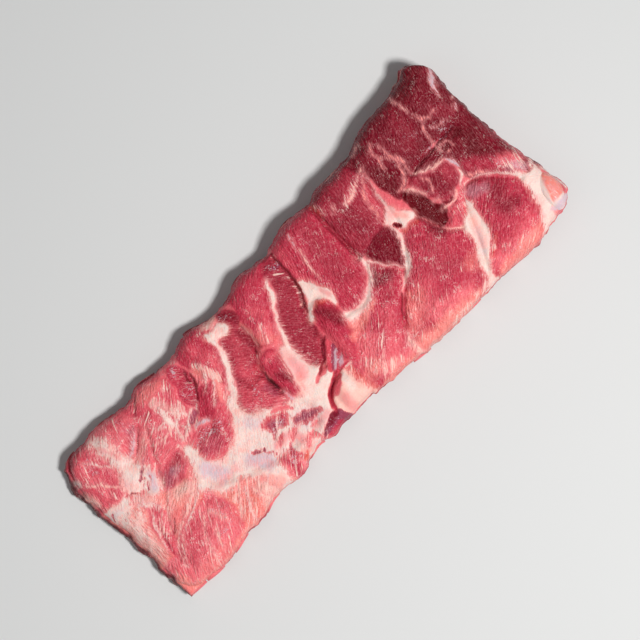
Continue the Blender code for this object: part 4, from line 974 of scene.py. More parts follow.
def in_reach(x, y, line, reach):
    """Which points lie in the box round a line, widened by the reach."""
    close = (x > line[:, 0].min() - reach) & (x < line[:, 0].max() + reach)
    return close & (y > line[:, 1].min() - reach) & (y < line[:, 1].max() + reach)


def nearest_on(x, y, start, run):
    """For each point, the share along a straight run where it is nearest, and its distance from there."""
    share = ((x - start[0]) * run[0] + (y - start[1]) * run[1]) / max(run @ run, TINY)
    share = np.clip(share, 0, 1)
    return share, np.hypot(x - start[0] - share * run[0], y - start[1] - share * run[1])


def strip_depth(x, y, line):
    """How far each point lies inside a strip: the half width at the nearest place of a run of its centre
    line less the distance to it, at the run where this is largest. A line of one point gives a disc.
    Points out of reach are far outside."""
    line = np.array(line, float)
    if len(line) > 2:
        line = smooth_curve(line, 4)
    depth = np.full(x.shape, -FAR)
    close = in_reach(x, y, line, SOFT_REACH + line[:, 2].max())
    near_x, near_y = x[close], y[close]
    inside = np.full(near_x.shape, -FAR)
    for start, end in zip(line, line[1:] if len(line) > 1 else line):
        share, distance = nearest_on(near_x, near_y, start, end[:2] - start[:2])
        inside = np.maximum(inside, start[2] + (end[2] - start[2]) * share - distance)
    depth[close] = inside
    return depth


def outline_depth(x, y, points):
    """How far each point lies inside a closed smooth outline: the distance to its nearest side, counted
    as negative where a ray along +X crosses the outline an even number of times."""
    outline = smooth_curve(points, 4, closed=True)
    depth = np.full(x.shape, -FAR)
    close = in_reach(x, y, outline, SOFT_REACH)
    near_x, near_y = x[close], y[close]
    nearest = np.full(near_x.shape, FAR)
    odd = np.zeros(near_x.shape, bool)
    for start, end in zip(outline, np.roll(outline, -1, axis=0)):
        run = end - start
        nearest = np.minimum(nearest, nearest_on(near_x, near_y, start, run)[1])
        if abs(run[1]) > TINY:
            straddles = (start[1] > near_y) != (end[1] > near_y)
            odd ^= straddles & (near_x < start[0] + run[0] * (near_y - start[1]) / run[1])
    depth[close] = np.where(odd, nearest, -nearest)
    return depth


def rib_x(rib, y):
    """x of a rib's centre line at y: its station, its slant and a slight bow."""
    bow = RIB_BOW * min(RIB_SLANT[rib] / max(RIB_SLANT), 1)
    return np.cumsum([FIRST_RIB_X, *RIB_PITCH])[rib] + RIB_SLANT[rib] * y - bow * y**2


def rib_distance(x, y):
    """How far each point is, along X, from the centre line of the nearest rib."""
    return np.min([np.abs(x - rib_x(rib, y)) for rib in range(len(RIB_SLANT))], axis=0)


def relief(x, y):
    """The muscles' height: rounded arches over the swells, less the hollows and the narrow folds."""
    height = np.zeros(x.shape)
    for line, rise in SWELLS:
        widest = max(half for _, _, half in line)
        share = np.clip(strip_depth(x, y, line) / (widest * DOME_SHARE), 0, 1)
        height += rise * np.sin(share * math.pi / 2)
    for line, drop in HOLLOWS:
        height -= drop * smooth_step(strip_depth(x, y, line) / HOLLOW_SOFT + 0.5)
    for line, drop in FOLDS:
        strip = [(px, py, FOLD_HALF) for px, py in line]
        height -= drop * np.clip(strip_depth(x, y, strip) / FOLD_HALF, 0, 1) ** 1.5
    return height


class Skin:
    """The points of the slab's skin, with what each is: its shares u along and v across, its share w up a
    wall, which is 1 all over the top and 0 all over the underside, its place in plan, how near it is to
    the edge, and which way is out."""

    def __init__(self, u, v, w):
        """Near is 0 from the edge round inwards and 1 at the edge itself."""
        self.u, self.v, self.w = u, v, w
        self.x, self.y = plan(u, v).T
        across = np.linalg.norm(on_curve(HIGH, u) - on_curve(LOW, u), axis=1)
        along = np.linalg.norm(on_curve(RIGHT, v) - on_curve(LEFT, v), axis=1)
        self.near_side = np.clip(1 - np.minimum(v, 1 - v) * across / EDGE_ROUND, 0, 1)
        self.near_end = np.clip(1 - np.minimum(u, 1 - u) * along / EDGE_ROUND, 0, 1)
        self.near = np.minimum(np.hypot(self.near_side, self.near_end), 1)
        out_x = self.near_end * np.where(u > 0.5, 1, -1)
        out_y = self.near_side * np.where(v > 0.5, 1, -1)
        out_length = np.maximum(np.hypot(out_x, out_y), TINY)
        self.out = np.stack([out_x, out_y]) / out_length
        self.top = w > 0.999
        self.under = w < 0.001

    def points(self, marks):
        """The skin's points in metres. The top is the rim plus a quarter ellipse to the full thickness,
        with the relief, the fat and the fibres on it. A wall leans out or in with its height, and the
        underside arches between the ribs."""
        sizes = rack().sizes
        share = smooth_step((self.x - THICKENS_FROM) / (THICKENS_TO - THICKENS_FROM))
        thin, thick_end = sizes.thin_end / MM, sizes.thick_end / MM
        thick = thin + (thick_end - thin) * share
        turned_down = 1 - np.sqrt(1 - self.near**2)
        rim = RIM_SHARE * thick
        shape = relief(self.x, self.y) + marks["height"]
        top = rim + (thick - rim) * (1 - turned_down) + shape * (1 - self.near**4)
        ridge = bell(rib_distance(self.x, self.y), VALLEY_HALF)
        valley = VALLEY_DEPTH * (1 - ridge) * (1 - self.near)
        under = np.maximum(UNDER_RIM * turned_down, valley)
        under += np.clip(marks["under"], 0, None) * (1 - self.near)
        rise = self.w
        wall = under + (np.maximum(rim, under + 1) - under) * rise
        z = np.where(self.top, top, np.where(self.under, under, wall))
        on_left = self.near_end * (self.u < 0.5) * (1 - CORNER_EASE * self.near_side)
        tab = LEFT_TAB * bell(self.y - LEFT_TAB_Y, LEFT_TAB_HALF)
        arch = np.sin(math.pi * rise)
        lean = (LEFT_SLANT + tab) * (1 - rise) + WALL_WAVE * np.sin(self.y * WAVE_TURN) * arch
        reach = WALL_BULGE * arch - FOOT_INSET * (1 - rise) ** 2 + lean * on_left
        reach = (reach + marks["wall"]) * ~self.top * np.maximum(self.near_side, self.near_end)
        ragged = cloud(self.x, self.y, RAGGED_SIZE, 31) * sizes.edge_ragged / MM
        x, y = np.stack([self.x, self.y]) + self.out * (reach + (ragged - EDGE_PULL) * self.near**3)
        return from_plan(x, y, z)


def skin_grid():
    """The skin's points and faces. The top, the walls and the underside are grids that share their
    border points. The underside has a third of the top's cells across, so that each of its cells at
    an end takes three of the wall's, in a face with six corners."""
    u = np.linspace(0, 1, CELLS_ALONG + 1)
    v = np.linspace(0, 1, CELLS_TOP + 1)
    v_under = np.linspace(0, 1, CELLS_UNDER + 1)
    fall = np.linspace(1, 0, CELLS_WALL + 1)[1:-1]
    shares, first = [], 0

    def grid(first_axis, second_axis, point):
        """Adds a grid of points whose shares follow from its two axes, and gives their numbers."""
        nonlocal first
        a, b = np.meshgrid(first_axis, second_axis, indexing="ij")
        shares.append(np.stack([np.broadcast_to(s, a.shape).ravel() for s in point(a, b)]))
        index = first + np.arange(a.size).reshape(a.shape)
        first += a.size
        return index

    top = grid(u, v, lambda a, b: (a, b, 1.0))
    low_wall = grid(u, fall, lambda a, b: (a, 0.0, b))
    high_wall = grid(u, fall, lambda a, b: (a, 1.0, b))
    left_wall = grid(v[1:-1], fall, lambda a, b: (0.0, a, b))
    right_wall = grid(v[1:-1], fall, lambda a, b: (1.0, a, b))
    under = grid(u, v_under, lambda a, b: (a, b, 0.0))
    low = np.hstack([top[:, :1], low_wall, under[:, :1]])
    high = np.hstack([top[:, -1:], high_wall, under[:, -1:]])
    left = np.vstack([low[0, :-1], np.hstack([top[0, 1:-1, None], left_wall]), high[0, :-1]])
    right = np.vstack([low[-1, :-1], np.hstack([top[-1, 1:-1, None], right_wall]), high[-1, :-1]])
    faces = [*quads(top), *quads(low), *quads(high), *quads(left), *quads(right), *quads(under)]
    step = CELLS_TOP // CELLS_UNDER
    for wall, foot in ((left, under[0]), (right, under[-1])):
        for cell in range(CELLS_UNDER):
            above = wall[cell * step:(cell + 1) * step + 1, -1]
            faces.append([*above, foot[cell + 1], foot[cell]])
    return Skin(*np.hstack(shares)), faces


def quads(index):
    """The four-cornered faces of a grid of point numbers."""
    corners = np.stack([index[:-1, :-1], index[1:, :-1], index[1:, 1:], index[:-1, 1:]], axis=-1)
    return corners.reshape(-1, 4).tolist()


def new_piece(name, points, faces, look, floats=(), colours=()):
    """A closed piece from points in metres, with its normals turned out and its attributes filled."""
    mesh = bpy.data.meshes.new(name)
    mesh.from_pydata(points.tolist(), [], faces)
    turned = bmesh.new()
    turned.from_mesh(mesh)
    bmesh.ops.recalc_face_normals(turned, faces=turned.faces)
    turned.to_mesh(mesh)
    turned.free()
    for title, values in floats:
        attribute = mesh.attributes.new(title, "FLOAT_VECTOR", "POINT")
        attribute.data.foreach_set("vector", values.astype(np.float32).ravel())
    for title, values in colours:
        attribute = mesh.attributes.new(title, "FLOAT_COLOR", "POINT")
        filled = np.hstack([values, np.ones((len(values), 1))])
        attribute.data.foreach_set("color", filled.astype(np.float32).ravel())
    mesh.shade_smooth()
    mesh.materials.append(look)
    piece = bpy.data.objects.new(name, mesh)
    bpy.context.scene.collection.objects.link(piece)
    return piece


class Paint:
    """The colours and marks of the skin's points, laid on in layers. Fat has a tone of its own, and a
    depth counted in soft edges, so that the material can cut an edge finer than the skin's cells."""

    def __init__(self, skin):
        """Starts with plain pink muscle and no fat. Edges follow a slightly bent copy of the plan."""
        self.skin = skin
        self.x, self.y = skin.x, skin.y
        count = len(self.x)
        self.tone = np.tile(tone_of("pink"), (count, 1))
        self.fat_tone = np.tile(tone_of("cream"), (count, 1))
        self.fat_depth = np.full(count, -FAT_RANGE)
        self.marbling = np.zeros(count)
        self.highlight_flecks = np.zeros(count)
        self.dark = np.zeros(count)
        self.grain = np.zeros((count, 3))
        self.clear = np.ones(count)
        self.streak = np.zeros(count)
        self.bundle = np.zeros(count)
        self.bent_x = self.x + cloud(self.x, self.y, 9, 1) + noise(self.x, self.y, 2.2, 5) * 0.35
        self.bent_y = self.y + cloud(self.x, self.y, 9, 11) + noise(self.x, self.y, 2.2, 15) * 0.35

    def lay(self, tone, mask):
        """Covers the tone laid so far with another, by the share that the mask gives."""
        self.tone = towards(self.tone, tone_of(tone), mask)

    def lay_fat(self, tone, depth):
        """Adds fat where it is deeper than what was there, and its tone over about one soft edge."""
        share = smooth_step(depth - self.fat_depth + 0.5)
        self.fat_tone = towards(self.fat_tone, tone_of(tone), share)
        self.fat_depth = np.maximum(self.fat_depth, np.clip(depth, -FAT_RANGE, FAT_RANGE))

    def cover_fat(self, mask):
        """Lowers the fat's depth to a limit that falls, as the mask grows, from 2 soft edges inside the
        fat to 5 outside it, so that the fibres feather the border."""
        limit = np.where(mask > 0.02, 2 - 7 * mask, FAT_RANGE)
        self.fat_depth = np.minimum(self.fat_depth, limit)

    def strip(self, line, feather=0.0):
        """Depth inside a strip whose edge wanders, and that the grain feathers."""
        return strip_depth(self.bent_x, self.bent_y, line) + feather * self.streak

    def within(self, line, soft, feather=0.0):
        """How far a strip covers each point, from 0 to 1 over its softness in millimetres."""
        return smooth_step(self.strip(line, feather) / soft + 0.5)

    @property
    def fat(self):
        """How far fat covers each point, from 0 to 1."""
        return smooth_step(self.fat_depth + 0.5)

    def muscles(self):
        """Fills each muscle's outline. The grain's coordinates are the place turned by its direction and
        shifted, so that no two muscles have the same fibres. The grain fades where two muscles meet.
        Streaks and bundles are noises drawn out along it."""
        for number, (tone, degrees, marbling, outline) in enumerate(MUSCLES):
            depth = outline_depth(self.bent_x, self.bent_y, outline)
            mask = smooth_step(depth / MUSCLE_SOFT + 0.5)
            self.lay(tone, mask)
            self.marbling += (marbling - self.marbling) * mask
            clear = smooth_step((np.abs(depth) - 0.3) / 1.2)
            self.clear = clear * np.where(depth > 0, 1.0, self.clear)
            turn = math.radians(degrees)
            along = self.x * math.cos(turn) + self.y * math.sin(turn)
            across = self.y * math.cos(turn) - self.x * math.sin(turn)
            across = across + cloud(along, across, 30, 41) * 1.6
            placed = np.stack([along + number * 37, across, self.clear], axis=1)
            self.grain = np.where((depth > 0)[:, None], placed, self.grain)
        self.grain[:, 2] = self.clear
        self.streak = noise(self.grain[:, 0] / 9, self.grain[:, 1] / 1.3, 1, 51) * self.clear
        self.bundle = noise(self.grain[:, 0] / 16, self.grain[:, 1] / 3, 1, 53) * self.clear

    def layers(self):
        """Lays the washes, the fat, its seams and tints, the small patches and the creases with their
        painted shade, in that order. Fat and seams have a paler halo in the muscle round them."""
        for tone, strength, soft, line in WASHES:
            self.lay(tone, strength * self.within(line, soft, WASH_FEATHER))
        for tone, soft, outline in FAT_AREAS:
            depth = outline_depth(self.bent_x, self.bent_y, outline) + 0.8 * soft * self.streak + 0.5
            self.lay("salmon", 0.5 * smooth_step(depth / 4 + 0.8))
            self.lay_fat(tone, depth / soft)
        for tone, soft, line in SEAMS:
            depth = self.strip(line, SEAM_FEATHER) - 0.25
            self.lay("pink", 0.3 * smooth_step(depth / 2.4 + 0.8))
            self.lay_fat(tone, depth / soft)
        for tone, strength, soft, line in TINTS:
            mask = strength * self.within(line, soft, PATCH_FEATHER)
            self.fat_tone = towards(self.fat_tone, tone_of(tone), mask)
        for tone, strength, soft, line in PATCHES:
            mask = strength * self.within(line, soft, PATCH_FEATHER)
            self.lay(tone, mask)
            self.cover_fat(mask)
        for tone, line in SHADED_CREASES:
            mask = self.within(line, CREASE_SOFT, SEAM_FEATHER)
            # Painted shade: the crease's dark tone over the muscle.
            self.lay(tone, mask * CREASE_SHADE_COVER)
            self.cover_fat(mask)
            self.dark = np.maximum(self.dark, mask)
        for amount, soft, line in MARBLED:
            self.marbling = np.maximum(self.marbling, amount * self.within(line, soft))
        # Where the material paints its highlight flecks.
        for amount, soft, line in HIGHLIGHT_FLECKS:
            self.highlight_flecks = np.maximum(self.highlight_flecks, amount * self.within(line, soft))

    def walls(self):
        """The cut sides: the top's own tone down to a line of fat, muscle below it, a pale sleeve round
        each rib's end and a line of membrane at the foot. The thin end gets painted shade, near black, and
        a pale lilac stripe of membrane with a painted highlight."""
        skin = self.skin
        side = ~skin.top & ~skin.under
        fall = 1 - skin.w
        along = np.where(skin.near_side > skin.near_end, self.x, self.y)
        wave = cloud(along, fall * 20, 14, 61)
        layer = smooth_step((fall - 0.12 - 0.10 * wave) / 0.10) * side
        self.lay("crimson", layer * 0.8)
        self.lay("maroon", layer * smooth_step(0.3 + cloud(along, fall * 30, 6, 71)) * 0.6)
        fat_line = bell(fall - 0.56 - 0.12 * wave, 0.05) * side
        self.lay("peach", fat_line * smooth_step(0.8 + cloud(along, fall, 9, 75)) * 0.8)
        self.lay("maroon", smooth_step((fall - 0.64 - 0.08 * wave) / 0.08) * side * 0.7)
        on_long = side & (skin.near_side >= skin.near_end)
        height = UNDER_RIM + (RIM_SHARE * MEAN_THICKNESS - UNDER_RIM) * skin.w
        round_rib = np.hypot(rib_distance(self.x, self.y), (height - RIB_HEIGHT) * 1.2)
        sleeve = bell(round_rib - 8.4 - cloud(along, fall * 20, 4, 65), 1.5) * on_long
        self.lay("peach", sleeve * smooth_step(0.7 + wave) * 0.7)
        self.lay("lilac", smooth_step((fall - 0.90) / 0.06) * side * 0.8)
        thin_end = side & (skin.near_end > skin.near_side) & (skin.u < 0.5)
        # Painted shade: near black over the thin end's wall, which faces away from the key light.
        self.lay("shade_black", thin_end * smooth_step((fall - 0.05) / 0.2) * 0.75)
        # Painted highlight: a pale lilac stripe of wet membrane over the first rib on the thin end.
        membrane_highlight_stripe = bell(fall - 0.62 - 0.1 * wave, 0.07) * smooth_step((25 - np.abs(self.y + 12)) / 12)
        self.lay("lilac", thin_end * membrane_highlight_stripe * 0.8)
        self.fat_depth[side] = -FAT_RANGE
        self.marbling[side] = 0.3
        drop = fall * RIM_SHARE * MEAN_THICKNESS
        clear = smooth_step(fall / 0.25) * smooth_step(skin.w / 0.15)
        self.grain[side] = np.stack([along, drop * 1.6 + wave * 3, clear], axis=1)[side]
        self.grain[~side & (skin.near > 0.97), 2] = 0

    def underside(self):
        """The bone side: pale ribs under a membrane, dark muscle between them with fibres that slant
        from rib to rib, and a vein along each rib."""
        x, y, under = self.x, self.y, self.skin.under
        away = rib_distance(x, y) + cloud(x, y, 12, 81) * 1.8
        between = smooth_step((away - 4.5) / 6) * under
        blotch = smooth_step(0.5 + cloud(x, y, 20, 85) * 1.4)
        fibres = smooth_step(noise(x + y, (y - x) / 9, 1.4, 95))
        self.lay("peach", under * 1.0)
        self.lay("lilac", under * blotch * 0.6)
        self.lay("rose", between * 0.9)
        self.lay("red", smooth_step((away - 8) / 7) * under * 0.8)
        self.lay("lilac", smooth_step(cloud(x, y, 16, 91) * 1.5) * under * 0.45)
        self.lay("purple", bell(away - 8.6, 0.8) * under * 0.5)
        self.lay("salmon", fibres * between * 0.35)
        self.fat_depth[under] = -FAT_RANGE
        self.marbling[under] = 0.2

    def marks(self):
        """Heights in millimetres to add to the top, the walls and the underside."""
        sizes = rack().sizes
        muscle = 1 - self.fat
        fibres = (self.streak * 0.6 + self.bundle) * muscle * sizes.fibre_rise / MM
        lumps = cloud(self.x, self.y, 11, 101) * 0.55 + noise(self.x, self.y, 3.0, 105) * 0.16
        height = self.fat * sizes.fat_rise / MM + fibres + lumps - self.dark * CREASE_DEPTH - SKIN_SUNK
        wall = cloud(self.x + self.y, self.skin.w * 24, 5, 111) * 0.7
        return {"height": height, "wall": wall, "under": cloud(self.x, self.y, 8, 121) * 0.35 + 0.2}


class Num:
    """A number that varies over a surface: it wraps the socket that gives it. Maths on it adds nodes."""

    def __init__(self, look, socket):
        self.look, self.socket = look, socket

    def maths(self, operation, *others):
        """A Math node with this number first and the others after it."""
        values = {0: self}
        values.update({place + 1: other for place, other in enumerate(others)})
        return self.look.number("ShaderNodeMath", {"operation": operation}, values)

    def __add__(self, other):
        return self.maths("ADD", other)

    def __mul__(self, other):
        return self.maths("MULTIPLY", other)

    def __sub__(self, other):
        return self.maths("SUBTRACT", other)

    def __rsub__(self, other):
        return self * -1 + other

    __radd__ = __add__
    __rmul__ = __mul__

    def step(self, low, high):
        """0 below low, 1 above high and smooth between."""
        settings = {"interpolation_type": "SMOOTHSTEP"}
        inputs = {"Value": self, "From Min": low, "From Max": high}
        return self.look.number("ShaderNodeMapRange", settings, inputs)


class Look:
    """A material and the nodes behind its Principled shader."""

    def __init__(self, name, constants):
        """Makes the material and sets the shader's own constants."""
        self.material = bpy.data.materials.new(name)
        self.material.use_nodes = True
        self.tree = self.material.node_tree
        self.shader = self.tree.nodes["Principled BSDF"]
        for socket, value in constants.items():
            self.shader.inputs[socket].default_value = value

    def node(self, kind, settings, inputs):
        """Adds a node, sets it up, and then fills or links its sockets."""
        made = self.tree.nodes.new(kind)
        for setting, value in settings.items():
            setattr(made, setting, value)
        for socket, value in inputs.items():
            self.fill(made.inputs[socket], value)
        return made

    def fill(self, socket, value):
        """Links a socket to a number or another socket, or sets it to a plain value."""
        if isinstance(value, Num):
            value = value.socket
        if isinstance(value, bpy.types.NodeSocket):
            self.tree.links.new(value, socket)
        else:
            socket.default_value = value

    def number(self, kind, settings, inputs):
        """A node whose first output is a number."""
        return Num(self, self.node(kind, settings, inputs).outputs[0])

    def attribute(self, name, output):
        """What the mesh holds under this name."""
        return self.node("ShaderNodeAttribute", {"attribute_name": name}, {}).outputs[output]

    def noise(self, vector, scale, detail=2.0, roughness=0.5, distortion=0.0):
        """Noise from 0 to 1 on a vector."""
        inputs = {"Vector": vector, "Scale": scale, "Detail": detail, "Roughness": roughness,
                  "Distortion": distortion}
        return self.number("ShaderNodeTexNoise", {}, inputs)

    def stretched(self, vector, x, y, z):
        """A vector with its three parts multiplied."""
        inputs = {0: vector, 1: (x, y, z)}
        return self.node("ShaderNodeVectorMath", {"operation": "MULTIPLY"}, inputs).outputs[0]

    def mixed(self, share, first, second, blend="MIX"):
        """One colour over another, by a share."""
        settings = {"data_type": "RGBA", "blend_type": blend}
        return self.node("ShaderNodeMix", settings, {0: share, 6: first, 7: second}).outputs[2]

    def place(self):
        """The place on the object, in millimetres."""
        place = self.node("ShaderNodeTexCoord", {}, {}).outputs["Object"]
        return self.stretched(place, 1 / MM, 1 / MM, 1 / MM)

    def bump(self, height, distance):
        """Small relief from a height, where 1 stands for the distance in metres."""
        bump = self.node("ShaderNodeBump", {}, {"Strength": 1.0, "Distance": distance, "Height": height})
        self.fill(self.shader.inputs["Normal"], bump.outputs[0])

    def paint(self, base, roughness):
        """The shader's colour and roughness."""
        self.fill(self.shader.inputs["Base Color"], base)
        self.fill(self.shader.inputs["Roughness"], roughness)


def four(tone):
    """A tone of the settings as the four numbers of a colour socket."""
    return (*tone_of(tone), 1.0)


def meat_look():
    """Raw meat: fibres along the grain, threads of fat where a muscle is marbled, painted highlights as
    pale lilac flecks and glints, and fat whose edge the fibres cut into. Noises on the grain are drawn out
    along it, from fine fibres to long threads, and noises on the place are even."""
    look = Look("raw_meat", {
        "Subsurface Weight": 0.12, "Subsurface Scale": 0.002, "Subsurface Radius": (1.0, 0.35, 0.25),
        "Specular IOR Level": 0.09,
    })
    tone = look.attribute("tone", "Color")
    fat_tone = look.attribute("fat_tone", "Color")
    marks = look.node("ShaderNodeSeparateColor", {}, {0: look.attribute("marks", "Color")}).outputs
    depth, marbling, highlight_flecks = (Num(look, socket) for socket in marks)
    grain = look.attribute("grain", "Vector")
    clear = Num(look, look.node("ShaderNodeSeparateXYZ", {}, {0: grain}).outputs[2])
    place = look.place()

    def fibres(along, across, detail, roughness=0.5, distortion=0.0):
        """Noise with this many cells to a millimetre along and across the grain. It fades to its middle
        value where the grain isn't clear."""
        drawn = look.noise(look.stretched(grain, along, across, 0), 1.0, detail, roughness, distortion)
        return (drawn - 0.5) * clear + 0.5

    fine = fibres(0.36, 1.4, 1.0, 0.6)
    coarse = fibres(0.17, 0.80, 3.0, 0.6, 0.3)
    threads = fibres(0.06, 0.72, 3.0, 0.65, 0.5)
    ribbing = fibres(0.26, 0.95, 0.0)
    pores = look.noise(place, 1.1, 1.0, 0.6)
    mottle = look.noise(place, 0.15, 3.0, 0.6)
    crumbs = look.noise(place, 0.55, 4.0, 0.7, 1.5)
    lumps = look.noise(place, 0.95, 0.0)

    # Fat comes up where it is deep enough, and a thin film lies round it.
    depth = (depth - 0.5) * 2 * FAT_RANGE + (coarse - 0.5) * 5.5 + (fine - 0.5) * 4.0 + (pores - 0.5) * 1.2
    fat = depth.step(-0.9, 1.0)
    film = depth.step(-3.4, 0.4) * 0.34

    # The muscle: darker and paler fibres, the paler ones partly a painted sheen, threads of fat, painted
    # highlights as lilac flecks, the film, and painted glints of wet shine.
    shade = coarse.step(0.58, 0.36) * 0.38 + mottle.step(0.58, 0.36) * 0.20 + fine.step(0.52, 0.38) * 0.25
    shade = shade * (1.15 - marbling * 0.5)
    base = look.mixed(shade, tone, look.mixed(1.0, tone, (0.66, 0.36, 0.42, 1.0), "MULTIPLY"))
    # Paler fibres, partly real and partly a painted sheen of wet highlight, in salmon and lilac.
    pale = coarse.step(0.50, 0.70) * 0.26 + fine.step(0.50, 0.66) * 0.28 + crumbs.step(0.50, 0.64) * 0.20
    pale = pale * (marbling * 1.2 + 0.02)
    base = look.mixed(pale, base, look.mixed(0.5, four("salmon"), four("lilac")))
    threaded = (threads + marbling * 0.27).step(0.74, 0.85) * 0.9
    base = look.mixed(threaded, base, look.mixed(0.4, four("peach"), four("cream")))
    # Painted highlights: flecks in the lilac of wet membrane, most where the highlight flecks table puts
    # them.
    painted_flecks = (crumbs + highlight_flecks * 0.20 + marbling * 0.04).step(0.73, 0.82) * 0.7
    base = look.mixed(painted_flecks, base, four("lilac"))
    base = look.mixed(film, base, look.mixed(0.4, four("salmon"), four("lilac")))
    # Painted highlights: glints of wet shine mixed into the colour, half the tone and half cream.
    painted_glints = (pores + (mottle - 0.5) * 1.8 + (fine - 0.5) * 0.7).step(0.76, 0.90) * (marbling * 0.9 + 0.25)
    base = look.mixed(painted_glints, base, look.mixed(0.55, tone, four("cream")))

    # The fat: its own tone with fine veins and a blush of salmon.
    blush = coarse.step(0.50, 0.60) * 0.26 + mottle.step(0.44, 0.62) * 0.22
    veined = threads.step(0.52, 0.70) * 0.30 + fine.step(0.50, 0.38) * 0.25 + crumbs.step(0.56, 0.66) * 0.20
    smeared = look.mixed(veined, fat_tone, look.mixed(0.25, four("lilac"), four("purple")))
    base = look.mixed(fat, base, look.mixed(blush, smeared, four("salmon")))

    look.paint(base, 0.12 + pores * 0.20 + mottle.step(0.50, 0.40) * 0.22 + fat * 0.14)
    muscle = 1 - fat
    height = ribbing * (muscle * 0.65 + 0.35) + lumps * (muscle * 0.4 + 0.4) + fat * 0.3
    look.bump(height, 0.00065)
    return look.material


def bone_look():
    """A sawn rib: a red spongy core inside an ivory shell, smeared by the saw."""
    look = Look("sawn_bone", {"Subsurface Weight": 0.08, "Subsurface Scale": 0.002})
    tone = look.attribute("tone", "Color")
    place = look.place()
    sponge = look.noise(place, 1.6, 3.0, 0.65)
    smear = look.noise(look.stretched(place, 0.5, 0.5, 2.5), 1.0, 2.0)
    base = look.mixed(sponge.step(0.45, 0.65) * 0.5, tone, four("salmon"))
    base = look.mixed(smear.step(0.52, 0.70) * 0.25, base, four("marrow"))
    look.paint(base, 0.42 + sponge * 0.2)
    look.bump(sponge, 0.0004)
    return look.material


def gristle_look():
    """Wet gristle: pearly, with faint pink clouds and fine fibres."""
    look = Look("gristle_wet", {
        "Subsurface Weight": 0.15, "Subsurface Scale": 0.003, "Specular IOR Level": 0.3,
    })
    place = look.place()
    clouds = look.noise(place, 0.3, 3.0, 0.6)
    strands = look.noise(look.stretched(place, 0.9, 0.3, 0.9), 1.0, 3.0)
    base = look.mixed(clouds.step(0.46, 0.66) * 0.25, look.attribute("tone", "Color"), four("lilac"))
    base = look.mixed(strands.step(0.50, 0.68) * 0.25, base, four("cream"))
    look.paint(base, 0.2 + strands * 0.2)
    look.bump(strands, 0.0004)
    return look.material


class RIBS_OT_meat(bpy.types.Operator):
    """Builds the slab of muscle, fat and membrane"""

    bl_idname = "ribs.meat"
    bl_label = "Meat"

    def execute(self, context):
        skin, faces = skin_grid()
        paint = Paint(skin)
        paint.muscles()
        paint.layers()
        paint.walls()
        paint.underside()
        points = skin.points(paint.marks())
        depth = 0.5 + 0.5 * paint.fat_depth / FAT_RANGE
        marks = np.stack([depth, paint.marbling, paint.highlight_flecks], axis=1)
        meat = new_piece(
            "raw_meat", points, faces, meat_look(), [("grain", paint.grain)],
            [("tone", paint.tone), ("fat_tone", paint.fat_tone), ("marks", marks)],
        )
        stand_for(meat, "meat")
        return {"FINISHED"}


class RIBS_OT_bones(bpy.types.Operator):
    """Builds the rib bones with their sawn ends"""

    bl_idname = "ribs.bones"
    bl_label = "Rib bones"

    def execute(self, context):
        look = bone_look()
        for rib in range(len(RIB_SLANT)):
            points, faces, tone = rib_surface(rib)
            bone = new_piece(f"bone_{rib + 1}", points, faces, look, colours=[("tone", tone)])
            stand_for(bone, f"rib_{rib + 1}")
        return {"FINISHED"}


class RIBS_OT_gristle(bpy.types.Operator):
    """Builds the lump of gristle at the thick corner"""

    bl_idname = "ribs.gristle"
    bl_label = "Gristle"

    def execute(self, context):
        points, faces, tone = gristle_surface()
        gristle = new_piece("gristle_lump", points, faces, gristle_look(), colours=[("tone", tone)])
        stand_for(gristle, "gristle")
        return {"FINISHED"}


def stand_for(piece, node):
    """Lets a piece ride on the rack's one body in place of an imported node, and hides that node."""
    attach(piece, "root")
    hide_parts(node)


def rib_surface(rib):
    """A rib: an oval carried along its line from one long edge of the rack to the other, then inwards
    in rings on each sawn end. The core's rings sink a little and wander, as the saw leaves them."""
    turn = np.linspace(0, 2 * math.pi, RIB_ROUND, endpoint=False)
    shares = np.linspace(0, 1, RIB_ROWS)
    rings = len(RIB_END_RINGS) - 1
    share = np.concatenate([np.zeros(rings), shares, np.ones(rings)])
    size = np.concatenate([RIB_END_RINGS[:0:-1], np.ones(RIB_ROWS), RIB_END_RINGS[1:]])
    share, turn = np.meshgrid(share, turn, indexing="ij")
    size = np.broadcast_to(size[:, None], share.shape)
    oval = 1 + 0.05 * np.sin(2 * turn + rib) + 0.03 * np.sin(3 * turn + 2 * rib)
    swell = (1 + RIB_END_SWELL * (2 * share - 1) ** 2) * size * oval / 1.05
    x = rib_x(rib, (share - 0.5) * MEAN_WIDTH) + np.cos(turn) * RIB_HALF_WIDTH * swell
    sunk = 0.8 * smooth_step((0.9 - size) / 0.2) + 0.25 * np.sin(5 * turn + rib) * (1 - size)
    low = np.interp(x, *LOW.T) - RIB_PROUD + sunk
    high = np.interp(x, *HIGH.T) + RIB_PROUD - sunk
    y = low + (high - low) * share
    z = RIB_HEIGHT + np.sin(turn) * RIB_HALF_DEPTH * swell
    index = np.arange(share.size).reshape(share.shape)
    faces = quads(np.hstack([index, index[:, :1]]))
    faces += [index[0].tolist(), index[-1].tolist()]
    share, size = share.reshape(-1, 1), size.reshape(-1, 1)
    core = smooth_step((0.88 - size) / 0.1)
    cut = np.where(share > 0.5, tone_of("marrow"), tone_of("lilac"))
    side = np.where(share > 0.5, tone_of("red"), tone_of("pink"))
    tone = np.where(size > 0.97, side, tone_of("bone") * (1 - core) + cut * core)
    return from_plan(x, y, z), faces, tone


